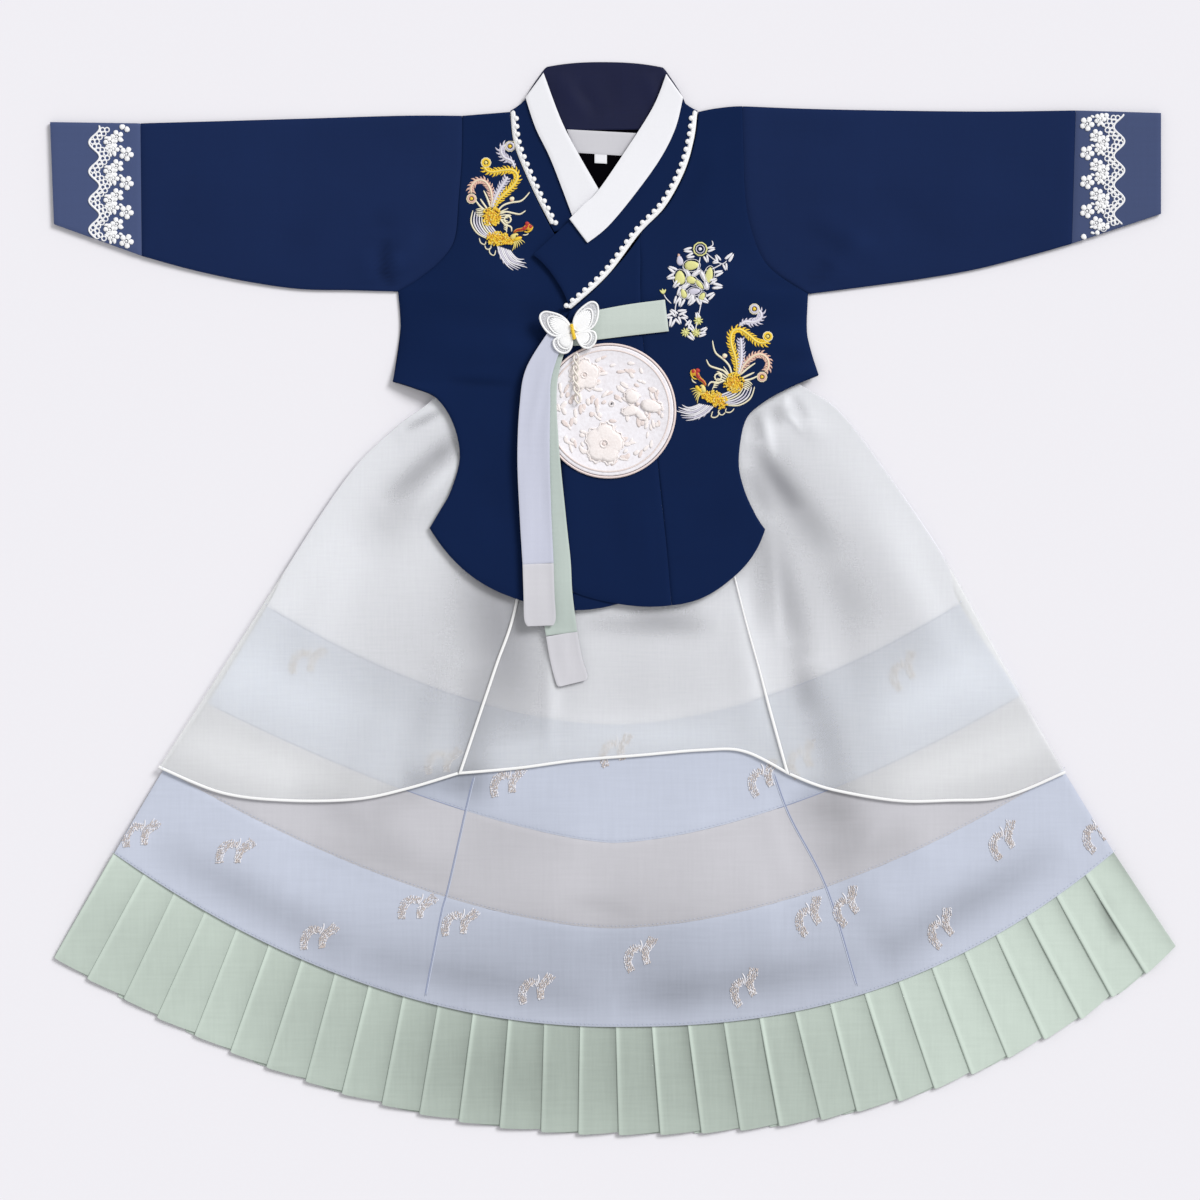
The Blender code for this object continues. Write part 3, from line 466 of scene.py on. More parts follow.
def grid_object(name, grid, finish, painted_shade=None):
    """An open surface through a grid of points in millimetres."""
    down, wide = grid.shape[0] - 1, grid.shape[1] - 1
    sheet = bmesh.new()
    bmesh.ops.create_grid(sheet, x_segments=wide, y_segments=down, size=1.0)
    places = grid.reshape(-1, 3) * MM
    for vert, place in zip(sheet.verts, places):
        vert.co = place
    sheet.normal_update()
    if sum(face.normal.z * face.calc_area() for face in sheet.faces) < 0:
        bmesh.ops.reverse_faces(sheet, faces=sheet.faces)
    mesh = mesh_of(name, sheet)
    # The painted shade goes on the mesh as a number at each point, for its cloth recipe to read.
    if painted_shade is not None:
        shaded = mesh.attributes.new("painted_shade", "FLOAT", "POINT")
        shaded.data.foreach_set("value", np.asarray(painted_shade, np.float32).ravel())
    mesh.materials.append(FINISHES[finish])
    return shown(name, mesh)


def solid_wall(made, wall, offset=1.0):
    """Give a surface its thickness, and keep its turned edges from looking padded."""
    thick = made.modifiers.new("wall", "SOLIDIFY")
    thick.thickness = wall * MM
    thick.offset = offset
    thick.use_even_offset = False
    made.modifiers.new("crisp_edges", "WEIGHTED_NORMAL").weight = FLAT_WEIGHT


def join_frame(made, nodes):
    """Fasten a piece to the frame's one body, in place of its plain solids."""
    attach(made, "root")
    if nodes:
        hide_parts(*nodes)
    pieces_made[made.name] = made


def cut_size(grid):
    """A panel's flat width, length and area in metres, measured along its own grid."""
    across = np.linalg.norm(np.diff(grid, axis=1), axis=2).sum(axis=1).max()
    along = np.linalg.norm(np.diff(grid, axis=0), axis=2).sum(axis=0).max()
    u = grid[1:, 1:] - grid[:-1, :-1]
    v = grid[1:, :-1] - grid[:-1, 1:]
    area = np.linalg.norm(np.cross(u, v), axis=2).sum() / 2
    return across * MM, along * MM, area * MM * MM


def trim(name, grid, finish, nodes, wall=WALL, offset=1.0, painted_shade=None):
    """A narrow strip or tag that goes with a larger panel."""
    made = grid_object(name, grid, finish, painted_shade)
    solid_wall(made, wall, offset)
    join_frame(made, nodes)
    return made


def cloth(name, grid, finish, nodes, slot, rests_on, wall=WALL, offset=1.0, going=(), painted_shade=None):
    """One laid panel: surface, wall, frame and the size that it was cut to."""
    made = trim(name, grid, finish, nodes, wall, offset, painted_shade)
    width, length, area = cut_size(grid)
    area = min(area, width * length)
    print(f"{name}: cut {width * 1000:.0f} x {length * 1000:.0f} mm")
    return made


def creased_cloth(name, grid, creases, turned, *rest, **more):
    """A panel with creases in its shape and in its painted shade, turned under at the edges named in turned.
    """
    cloth(name, rolled(creased(grid, creases), **turned), *rest, painted_shade=painted_shade_of(grid, creases), **more)


# %% [markdown]
# ## Jacket body
# A jacket front is read from a short table: each row runs from the front edge to the sewn side, and the
# heights carry the cloth up over the skirt and down again to the side seam.  Corner rows mark the
# armpit and the end of the side seam, where the outline turns sharply into the curved hem.

# %% Jacket tables
Row = namedtuple("Row", "x_in y_in x_out y_out bow z_in z_out")
FALL = 6                   # how late a lifted front drops to its sewn side
BOW_POWER = 2.4            # roundness of a bowed hem
ARMPIT_ROW = 6
SIDE_END_ROW = 9
RIGHT_FRONT = [Row(*line) for line in (
    (-80, 378, -117, 375, 0, 1.4, 1.4), (-77, 352, -117.5, 342, 0, 1.4, 1.4),
    (-64, 320, -120, 310, 0, 1.6, 1.4), (-46, 284, -123, 280, 0, 2.6, 1.4),
    (-30, 262, -134, 263, 0, 3.9, 1.4), (-20, 250, -152, 248, 0, 5.2, 1.4),
    (-8, 238, -167, 239, 0, 5.8, 1.4), (8, 216, -165, 212, 0, 7.8, 1.4),
    (20, 188, -167.5, 188, 0, INNER, 2.4), (22, 172, -171, 169, 0, INNER, 5.2),
    (23, 164, -155, 164, 0, INNER, 8.6), (24, 155, -137, 156, 0, INNER, INNER),
    (25, 137, -124, 136, 0, INNER, INNER), (26, 110, -119, 110, 0, INNER, INNER),
    (27, 80, -126, 84, 0, INNER, INNER), (26, 46, -135, 68, 12, INNER, INNER),
    (24, 5, -142, 56, 33, INNER, INNER),
)]
LEFT_FRONT = [Row(*line) for line in (
    (66, 378, 100, 382.4, -1, 1.4, 1.4), (63.5, 358, 101, 352, 0, 1.6, 1.4),
    (56, 332, 102, 320, 0, 2.2, 1.4), (41, 304, 105, 295, 0, 3.6, 1.4), (21, 283, 113, 270, 0, 4.8, 1.4),
    (21, 262, 124, 255, 0, 6.8, 1.4), (21, 238, 151, 237, 0, 10.0, 1.4),
    (22, 212, 150, 208, 0, OUTER, 1.4), (24, 190, 154, 190, 0, OUTER, 2.6),
    (26, 178, 159, 174, 0, OUTER, 6.4), (28, 166, 136, 164, 0, OUTER, 9.8),
    (29, 154, 115, 152, 0, OUTER, OUTER), (31, 138, 102, 138, 0, OUTER, OUTER),
    (34, 108, 97, 108, 0, OUTER, OUTER), (37, 82, 101, 86, 0, OUTER, OUTER),
    (41, 42, 110, 66, 5, OUTER, OUTER), (45, -4, 117, 55, 13.5, OUTER, OUTER),
)]
OVERLAP = [Row(*line) for line in (
    (-33, 223.5, 21, 282.6, 3, 10.4, 4.8), (-37, 212, 21, 262, 0, OUTER, 6.8),
    (-37.5, 198, 21, 238, 0, OUTER, 10.0), (-38, 180, 22, 212, 0, OUTER, OUTER),
    (-38.5, 160, 24, 190, 0, OUTER, OUTER), (-39, 140, 29, 154, 0, OUTER, OUTER),
    (-39.5, 100, 34, 108, 0, OUTER, OUTER), (-40, 50, 41, 42, 2, OUTER, OUTER),
    (-41, 11, 45, -4, 6, OUTER, OUTER),
)]
BACK_BOWS = {0: 8.4, 15: 22, 16: 60}
NO_BACK_ROW = 8            # both fronts bend there over the skirt, and the back stays straight
BACK = [Row(*right[2:4], *left[2:4], BACK_BOWS.get(k, 0), 0, 0)
        for k, (right, left) in enumerate(zip(RIGHT_FRONT, LEFT_FRONT)) if k != NO_BACK_ROW]


def row_line(row, count, fall=FALL):
    """A table row as count + 1 points, bowed towards the hem, dropping late to its sewn end."""
    start = np.array([row.x_in, row.y_in])
    end = np.array([row.x_out, row.y_out])
    run = (end - start) / np.linalg.norm(end - start)
    down = np.array([run[1], -run[0]])
    down = -down if down[1] > 0 else down
    share = np.linspace(0, 1, count + 1)[:, None]
    push = row.bow * (1 - np.abs(2 * share - 1) ** BOW_POWER)
    flat = start * (1 - share) + end * share + down * push
    height = row.z_out + (row.z_in - row.z_out) * (1 - share ** fall)
    return np.concatenate([flat, height], axis=1)


def panel_grid(table, count, steps, corners=(), fall=FALL):
    return flow(np.array([row_line(row, count, fall) for row in table]), steps, corners)


def inset(grid, left=0.0, right=0.0, top=0.0, bottom=0.0):
    """Pull a grid's edges in along its own lines, which leaves room for a seam."""
    tight = grid.copy()
    for amount, edge, near in ((left, (slice(None), 0), (slice(None), 1)),
                               (right, (slice(None), -1), (slice(None), -2)),
                               (top, 0, 1), (bottom, -1, -2)):
        if amount:
            run = tight[near] - tight[edge]
            tight[edge] += run / np.linalg.norm(run, axis=-1, keepdims=True) * amount
    return tight


# %% Jacket creases
# Jacket creases; the last column is painted shade, and below zero a painted highlight.
BODY_CREASES = [Crease(*line) for line in (
    (-160, 226, -60, 214, -0.9, 9, 0.06), (-150, 200, -70, 196, 0.7, 10, -0.04),
    (-118, 262, -60, 232, 0.7, 10), (-100, 330, -60, 262, 0.6, 12, -0.03),
    (-128, 168, -76, 166, -0.9, 4, 0.16), (-126, 176, -80, 174, 0.6, 5, -0.05),
    (-66, 236, -50, 190, -0.9, 11, 0.16), (-92, 206, -62, 186, 0.7, 9, -0.03),
    (-120, 150, -60, 120, 0.6, 14, -0.03), (-108, 110, -74, 40, -0.6, 12, 0.05),
    (-112, 60, -50, 40, 0.5, 16, -0.03), (60, 262, 140, 232, 0.6, 10, -0.03),
    (104, 252, 152, 240, -0.8, 7, 0.12), (70, 214, 146, 222, -0.8, 8, 0.08),
    (112, 200, 156, 206, 0.7, 7, -0.05), (126, 186, 158, 190, -0.7, 5, 0.12),
    (60, 120, 96, 130, 0.5, 12, -0.03), (52, 60, 100, 70, -0.5, 12, 0.05),
    (84, 360, 60, 300, 0.6, 9, -0.03), (76, 340, 52, 300, -0.6, 8, 0.08), (-30, 130, -28, 20, 0.4, 8),
    (2, 84, 8, 20, -0.5, 9, 0.06), (24, 84, 30, 14, 0.4, 6, -0.03),
)]

# %% Jacket panels
back_grid = inset(panel_grid(BACK, 60, 5, (6, 8)), 0.2, 0.2)
right_grid = inset(panel_grid(RIGHT_FRONT, 48, 5, (ARMPIT_ROW, SIDE_END_ROW)), right=0.5)
left_grid = inset(panel_grid(LEFT_FRONT, 40, 5, (ARMPIT_ROW, SIDE_END_ROW)), 0.2, 0.5)
overlap_grid = inset(panel_grid(OVERLAP, 26, 6, fall=1), right=0.2, top=0.4)
# The back panel's first finish is the near-black lining with painted shadow; its wall's shell takes the navy.
jacket_back = cloth("jacket_back_panel", back_grid, "lining_painted_shadow", ["jacket_back"], "navy_cloth", ["floor"])
jacket_back.data.materials.append(FINISHES["jacket_navy"])
jacket_back.modifiers["wall"].material_offset = 1
for name, grid, left, node, under in (
        ("jacket_right_front", right_grid, 0, "jacket_front_right", "jacket_back_panel"),
        ("jacket_left_front", left_grid, 1, "jacket_front_left", "jacket_right_front"),
        ("jacket_overlap_panel", overlap_grid, 1, "jacket_overlap", "jacket_right_front")):
    creased_cloth(name, grid, BODY_CREASES, dict(left=left, right=1, bottom=1), "jacket_navy", [node],
                  "navy_cloth", [under])

# %% [markdown]
# ## Sleeves and cuffs
# A laid sleeve is a front and a back panel between the armhole and the cuff seam.  The patch between
# those four edges is a Coons patch: straight blends of opposite edges, less the blend of the corners.
# Under the arm the spare cloth of the curved armhole makes a short deep dimple.

# %% Sleeve panels
SleeveCut = namedtuple("SleeveCut", "top bottom cuff_top cuff_bottom")
RIGHT_SLEEVE = SleeveCut(
    top=[(-117, 375), (-166, 375), (-261, 372), (-366, 369)],
    bottom=[(-167, 239), (-203, 240), (-243, 241), (-285, 247), (-327, 256), (-365, 266.5)],
    cuff_top=(-436, 370), cuff_bottom=(-433, 291))
LEFT_SLEEVE = SleeveCut(
    top=[(100, 382.4), (154, 380.3), (215, 379), (289, 378.2), (358, 379)],
    bottom=[(151, 237), (200, 243.4), (240, 249), (282, 256.5), (327, 268), (355, 276)],
    cuff_top=(424, 377), cuff_bottom=(424, 299))
SLEEVE_PUFF = 2.4
SLEEVE_LENGTHS = 56        # grid steps from the armhole to the cuff
SLEEVE_LOWEST = LAYER - 0.3
CUFF_BACK_Z = LAYER
CUFF_FRONT_Z = CUFF_BACK_Z + LAYER
# Sleeve creases; the last column is painted shade, strongest in the dimple under the arm, and below zero a
# painted highlight.
SLEEVE_CREASES = [Crease(*line) for line in (
    (-169, 242, -180, 258, -2.4, 4, 0.42), (-178, 250, -176, 282, -1.8, 4.5, 0.36),
    (-166, 252, -170, 270, 2.0, 5, -0.14), (-186, 246, -194, 272, 1.4, 7, -0.06),
    (-150, 290, -162, 256, 1.2, 9, -0.07), (-170, 284, -188, 300, -0.9, 8, 0.08),
    (-204, 327, -246, 280, 1.0, 14, -0.04), (-150, 330, -200, 290, 0.9, 14, -0.03),
    (-212, 318, -262, 262, -0.9, 12, 0.06), (-262, 350, -330, 300, 0.7, 22, -0.03),
    (-130, 362, -210, 352, -0.6, 12, 0.04), (-300, 320, -352, 284, -0.6, 18, 0.04),
    (-236, 372, -300, 350, 0.6, 16, -0.02), (152, 240, 166, 262, -1.8, 6, 0.16),
    (168, 246, 196, 284, 1.4, 8, -0.08), (146, 292, 190, 262, -1.0, 10, 0.10),
    (150, 300, 214, 262, 1.0, 12, -0.03), (136, 336, 200, 318, 0.7, 18, -0.02),
    (200, 322, 262, 268, -0.9, 15, 0.05), (262, 330, 330, 292, 0.8, 20, -0.03),
    (110, 368, 190, 362, -0.6, 12, 0.05),
)]


def patch(first, last, start, end):
    """The grid between a first and last row and a start and end column that share their corners."""
    v = np.linspace(0, 1, len(start))[:, None, None]
    u = np.linspace(0, 1, len(first))[None, :, None]
    ruled = first[None] * (1 - v) + last[None] * v + start[:, None] * (1 - u) + end[:, None] * u
    ends = (first[0] * (1 - u) + first[-1] * u) * (1 - v) + (last[0] * (1 - u) + last[-1] * u) * v
    return ruled - ends


def sleeve_grid(cut, armhole_line, is_front):
    """A sleeve panel whose rows run from the armhole to the cuff."""
    top = smooth(cut.top, SLEEVE_LENGTHS)
    bottom = smooth(cut.bottom, SLEEVE_LENGTHS)
    hole = armhole_line[:, :2].copy()
    hole[0], hole[-1] = top[0], bottom[0]
    share = np.linspace(0, 1, len(hole))[:, None]
    cuff = top[-1] * (1 - share) + bottom[-1] * share
    flat = patch(hole, cuff, top, bottom).transpose(1, 0, 2)
    along = np.linspace(0, 1, SLEEVE_LENGTHS + 1)[None, :]
    height = np.zeros(flat.shape[:2])
    if is_front:
        puff = SLEEVE_PUFF * np.sin(np.pi * share) ** 0.8 * np.sin(np.pi * along) ** 0.7
        height = mix(LAYER, CUFF_FRONT_Z, along ** 3) + puff
    return inset(np.concatenate([flat, height[..., None]], axis=2), 0.5, 0.2)


def cuff_grid(cut, height, across=16, down=24):
    """A cuff panel between the sleeve's seam and its own end."""
    corners = [np.array([*corner, height]) for corner in (cut.top[-1], cut.bottom[-1],
                                                          cut.cuff_top, cut.cuff_bottom)]
    share = np.linspace(0, 1, down + 1)[:, None]
    seam = corners[0] * (1 - share) + corners[1] * share
    end = corners[2] * (1 - share) + corners[3] * share
    along = np.linspace(0, 1, across + 1)[None, :, None]
    return seam[:, None] * (1 - along) + end[:, None] * along


# The left cuff is darkened all over through the painted-shade number.
CUFF_SHADE = {"right": 0.0, "left": 0.11}
for side, cut, grid in (("right", RIGHT_SLEEVE, right_grid), ("left", LEFT_SLEEVE, left_grid)):
    armhole = grid[:ARMPIT_ROW * 5 + 1, -1]
    back = sleeve_grid(cut, armhole, False)
    front = creased(sleeve_grid(cut, armhole, True), SLEEVE_CREASES)
    front[..., 2] = np.maximum(front[..., 2], SLEEVE_LOWEST)
    cloth(f"sleeve_{side}_under", back, "sleeve_navy", [f"sleeve_{side}_back"], "sleeve_cloth", ["floor"])
    cloth(f"sleeve_{side}_upper", rolled(front, 1, 1), "sleeve_navy", [f"sleeve_{side}_front"],
          "sleeve_cloth", [f"sleeve_{side}_under"], painted_shade=painted_shade_of(front, SLEEVE_CREASES))
    for face, z in (("back", CUFF_BACK_Z), ("front", CUFF_FRONT_Z)):
        cuff = inset(cuff_grid(cut, z), 0.2)
        cloth(f"cuff_{side}_{face}_cloth", rolled(cuff, 1, 0), "cuff_slate", [f"cuff_{side}_{face}"],
              "cuff_cloth", [f"cuff_lace_{side}_back"], painted_shade=np.full(cuff.shape[:2], CUFF_SHADE[side]))

# %% [markdown]
# ## Collar and neck
# The collar band runs round the neck and its left end laps over to a point.  Along its neck edge lies
# the crisp white strip that is changed when it is soiled.  Inside the neck the dark lining shows, with a
# woven label and a small size tag, which both stay plain here.

# %% Collar pieces
GIT_LEFT = [Row(*line) for line in (
    (41, 407, 65, 379, 4, 2.4, 1.8), (31, 382, 62.5, 358, 0, 2.8, 2.0), (21, 366, 55, 332, 0, 2.9, 2.6),
    (4, 339, 40, 304.5, 0, 3.6, 4.0), (-11, 316, 20.3, 283.6, 0, 4.6, 5.2),
    (-33, 294, -4.6, 250.9, 0, 5.6, 7.2), (-62, 267, -33.6, 224.2, -4, 7.4, 10.6),
)]
GIT_RIGHT = [Row(*line) for line in (
    (-54, 408, -79.5, 379, 3, 2.4, 1.6), (-41, 373, -76.5, 352.5, 0, 2.8, 1.6),
    (-29, 349, -63.5, 320.5, 0, 2.8, 1.8), (-11, 316, -52.4, 298.2, 0, 2.2, 2.2),
    (1, 298, -45.5, 285, 0, 2.2, 2.8),
)]
STRIP_LEFT = [Row(*line) for line in (
    (41, 407, 54, 389, 0, 3.8, 3.6), (31, 382, 48, 365, 0, 3.8, 3.7), (11, 350, 36, 341, 0, 4.6, 4.3),
    (-11.7, 316.7, 16, 313, 0, 6.2, 5.9), (-22.8, 305.8, -4, 289, 0, 6.8, 7.1),
    (-34, 294.6, -20, 276, 0, 7.4, 7.9),
)]
STRIP_RIGHT = [Row(*line) for line in (
    (-54, 408, -68, 389, 0, 3.8, 3.5), (-41, 373, -60, 365, 0, 4.2, 3.7), (-29, 349, -48, 340, 0, 4.2, 3.8),
    (-9.0, 314.0, -31.0, 295.4, 0, 3.6, 3.6),
)]
GIT_BACK = [Row(*line) for line in (
    (-51.5, 413, 38.5, 412.5, -4, 0.2, 0.2), (-55.5, 408.5, 42.5, 407.5, 0, 0.2, 0.2),
    (-68, 389, 54, 389, 0, 0.2, 0.2), (-76, 364.4, 62, 365.8, 1.0, 0.8, 0.8),
)]
# Back collar creases; the last column is painted shade, and below zero a painted highlight.
BACK_COLLAR_CREASES = [Crease(*line) for line in (
    (-44, 408, -20, 374, 0.7, 7, -0.1), (-30, 400, -8, 372, -0.5, 6, 0.1), (-4, 412, 2, 374, -0.4, 9, 0.1),
    (26, 408, 34, 380, 0.6, 6, -0.1),
)]
git_left = panel_grid(GIT_LEFT, 12, 8, fall=1)
git_right = panel_grid(GIT_RIGHT, 12, 8, fall=1)
git_back = panel_grid(GIT_BACK, 40, 10)
creased_cloth("collar_back_band", git_back, BACK_COLLAR_CREASES, {}, "lining_satin", ["collar_back"],
              "navy_cloth", ["jacket_back_panel"])
for side, grid, low, under in (("right", git_right, 0, "jacket_back_panel"),
                               ("left", git_left, 1, "collar_right_band")):
    cloth(f"collar_{side}_band", rolled(grid, 1, 1, bottom=low), "jacket_navy", [f"collar_{side}"],
          "navy_cloth", [under])
for side, table in (("right", STRIP_RIGHT), ("left", STRIP_LEFT)):
    cloth(f"collar_white_{side}", panel_grid(table, 6, 8, fall=1), "strip_white",
          [f"collar_strip_{side}"], "white_strip", [f"collar_{side}_band"])

# %% Label and size tag
LABEL = ((-36, 364.5), (21, 361.5), (-30, 346.5), (17.5, 343.5))
SIZE_TAG = ((-14.5, 346.0), (-5, 345.4), (-14.5, 338.5), (-5, 338.0))


def tag_grid(corners, height, wide, down, wave):
    """A small rectangle of cloth between four corners, slightly waved."""
    upper_left, upper_right, lower_left, lower_right = [np.array(corner, float) for corner in corners]
    u = np.linspace(0, 1, wide + 1)[None, :, None]
    v = np.linspace(0, 1, down + 1)[:, None, None]
    flat = (upper_left * (1 - u) + upper_right * u) * (1 - v) + (lower_left * (1 - u) + lower_right * u) * v
    rise = height + wave * np.sin(5 * u[..., 0]) * v[..., 0]
    return np.concatenate([flat, rise[..., None]], axis=2)


tag = trim("size_tag_blank", tag_grid(SIZE_TAG, LAYER, 6, 5, 0.1), "strip_white", ["size_tag"],
           0.4)
cloth("neck_label_blank", tag_grid(LABEL, LAYER, 24, 8, 0.25), "label_satin", ["neck_label"], "label_cloth",
      ["jacket_back_panel"], wall=0.4, going=[tag])

# %% [markdown]
# ## Skirt
# The skirt is a cone of bands sewn one under another, laid double: a back and a front layer.  Each
# table row gives a seam from side to side, which hangs lower in the middle.  One fine grid is
# made for the whole layer and cut at the seams, so that the bands share one set of folds.

# %% Skirt tables
SkirtRow = namedtuple("SkirtRow", "left right y_left y_mid y_right bend_left bend_right z_back z_front")
SKIRT = {place: SkirtRow(*line) for place, *line in (
    ("waist", -112, 112, 190, 188, 190, 2.0, 2.0, 2.9, 4.5),
    ("hip", -139, 147, 156, 157, 165, 2.0, 2.0, 2.9, 4.5),
    ("notch", -168, 174, 134, 126, 147, 2.0, 2.0, 2.9, 4.5),
    ("tip", -204, 208, 98, 66, 104, 2.0, 2.0, 2.9, 4.5),
    ("jacket_hem", -249, 256, 31, -12, 33, 2.0, 2.0, 2.9, 4.5),
    ("upper_blue", -268, 268, -5, -96, -3, 1.8, 1.8, 2.4, 3.9),
    ("grey", -314, 315, -80, -188, -74, 1.45, 1.6, 1.7, 3.1),
    ("lower_blue", -348, 348, -131, -254, -131, 1.65, 1.8, 1.7, 3.3),
    ("flounce", -386, 387, -196, -330, -195, 2.0, 2.4, 1.5, 5.7),
    ("hem", -432, 436, -276, -413, -269, 2.0, 2.5, 1.5, 5.7),
)}
PLACES = list(SKIRT)
BANDS = (
    ("white", "waist", "upper_blue", "white_cloth", "skirt_white"),
    ("upper_blue", "upper_blue", "grey", "blue_cloth", "skirt_blue"),
    ("grey", "grey", "lower_blue", "grey_cloth", "skirt_grey"),
    ("lower_blue", "lower_blue", "flounce", "blue_cloth", "skirt_blue"),
)
SEAM_GAP = 0.15
WAISTBAND_RISE = 35.85
SIDE_DROP = 0.8            # how far the front layer sinks at its side folds
LEAST_GAP = 0.15           # the front layer never sinks into the back one
OVERLAY_LOWEST = 4.85
SKIRT_STEPS = 14

# %% Skirt creases
# Skirt folds in shape; the two with a last value also paint a faint highlight.
FOLDS = [Crease(*line) for line in (
    (-118, 118, -176, 52, 2.4, 13), (-130, 148, -170, 126, 1.6, 9), (98, 130, 120, -20, 2.4, 14),
    (110, 118, 178, 46, 2.4, 14), (128, 156, 166, 122, 1.6, 9), (122, -10, 165, -240, 1.6, 24, -0.02),
    (-150, 60, -200, -180, 1.6, 26, -0.02),
)]
# Skirt creases in shape and painted shade: rows with no height only paint shade, as the jacket hem's cast
# shadow and shade in gathers, along seams and towards the hem; rows below zero paint highlights on lit sides.
SKIRT_CREASES = [Crease(*line) for line in (
    (-131, 147, -162, 131, -1.2, 3.5, 0.34), (-118, 128, -178, 76, -1.8, 8, 0.30),
    (-118, 126, -140, 106, 0, 9, 0.14), (-110, 124, -200, 40, 0, 24, 0.16),
    (-117, 110, -160, 64, 1.6, 7, -0.12), (-100, 66, -72, -112, -1.6, 30, 0.50),
    (-110, 20, -180, -90, -0.6, 42, 0.13), (-49, -12, -49, -124, 1.8, 6, -0.07),
    (-30, -20, -34, -96, -0.6, 9, 0.05), (-40, -62, 110, -62, 0, 44, 0.11),
    (-40, -104, 96, -102, 0, 13, -0.13), (10, -10, 70, -12, -0.6, 13, 0.16), (30, -18, 26, -116, 0.7, 16),
    (88, -10, 96, -90, -0.7, 14, 0.05), (-190, 60, -250, -60, 1.1, 16, -0.03),
    (-226, 20, -290, -96, -1.0, 14, 0.03), (139, 158, 150, 138, -1.0, 4, 0.20),
    (110, 128, 170, 28, -1.5, 15, 0.24), (104, 124, 144, 68, -1.2, 8, 0.34),
    (116, 66, 148, -46, 0, 12, 0.36), (150, -50, 184, -170, 0, 15, 0.27), (94, 20, 124, -115, 0, 9, -0.12),
    (-30, -18, 82, -20, 0, 9, 0.28), (-106, -50, -112, -166, 0, 15, 0.28),
    (-160, 140, -330, -130, 0, 24, -0.08), (165, 146, 335, -128, 0, 24, -0.09),
    (120, 124, 240, -70, 0, 46, 0.17), (117, 142, 124, 106, 1.4, 4, -0.16),
    (110, 146, 112, 122, -1.0, 5, 0.30), (134, 159, 133, 146, 0.9, 2.5, -0.14),
    (133, 146, 146, 130, 0.9, 2.5, -0.12), (124, 151, 129, 134, -1.0, 5, 0.24),
    (123, 50, 128, -36, 1.7, 4.5, -0.12), (110, 60, 113, -30, -1.2, 8, 0.14),
    (142, 10, 150, -120, -0.5, 10, 0.06), (172, 30, 204, -140, -0.5, 12, 0.07), (97, 14, 99, -30, 0.9, 7),
    (200, 70, 262, -50, 1.1, 16, -0.03), (236, 40, 300, -70, -0.9, 14, 0.03),
    (-165, -140, -88, -142, 0, 13, 0.38), (140, -146, 200, -182, 0, 17, 0.36),
    (-43, -232, 21, -241, -0.5, 7, 0.10), (-120, -166, -30, -200, 0, 34, 0.10),
    (-250, -140, -150, -200, 0, 12, 0.14), (-30, -150, -34, -320, 0.9, 20, -0.02),
    (70, -140, 86, -326, 0.9, 22, -0.04), (-110, -150, -140, -310, -0.8, 18, 0.03),
    (220, -130, 262, -250, 0.9, 22, -0.02), (-250, -110, -300, -220, 0.8, 20, -0.02),
    (-250, -280, 250, -285, 0, 50, 0.34), (-240, -186, -120, -216, 0, 14, 0.17),
    (-146, -136, -190, -168, 0, 13, 0.14), (162, 34, 200, -24, 0, 16, 0.10),
    (150, -200, 240, -186, 0, 15, 0.18), (-350, -104, -210, -146, 0, 18, -0.20),
    (210, -146, 350, -100, 0, 18, -0.22), (-360, -186, -200, -274, 0, 16, 0.30),
    (-200, -274, 0, -314, 0, 14, 0.20), (0, -314, 200, -278, 0, 14, 0.22),
    (200, -278, 350, -190, 0, 16, 0.36), (10, -290, 70, -312, 0, 20, 0.12),
    (-270, -240, -150, -296, 0, 24, 0.10), (-320, -44, -190, -96, 0, 26, -0.15),
    (190, -96, 320, -40, 0, 26, -0.16), (150, -160, 230, -300, 0, 16, 0.14),
    (96, -160, 150, -310, 0, 14, -0.08), (-70, -190, -10, -262, 0, 22, -0.08),
    (140, -34, 152, -88, 0, 10, 0.22), (120, -146, 146, -232, 0, 9, -0.12),
    (-132, -40, -160, -142, 0, 13, 0.11), (104, 104, 122, 62, 0, 8, 0.30),
)]


# %% Skirt lines and layers
def skirt_line(place, columns, is_front):
    """Points of one skirt row at shares of its half width, from -1 to 1."""
    row = SKIRT[place]
    side_x = np.where(columns > 0, row.right, -row.left)
    side_y = np.where(columns > 0, row.y_right, row.y_left)
    height = row.z_front - SIDE_DROP * columns ** 8 if is_front else np.full_like(columns, row.z_back)
    bend = np.where(columns > 0, row.bend_right, row.bend_left)
    y = row.y_mid + (side_y - row.y_mid) * np.abs(columns) ** bend
    return np.stack([columns * side_x, y, height], axis=1)


def kept_above(height, lowest, ease=0.3):
    """Heights that level off softly where they would sink below the lowest."""
    return (height + lowest + np.sqrt((height - lowest) ** 2 + ease ** 2)) / 2


def skirt_layer(columns, is_front, steps=SKIRT_STEPS):
    rows = [skirt_line(place, columns, is_front) for place in PLACES[:-1]]
    return spans(np.array(rows), steps)


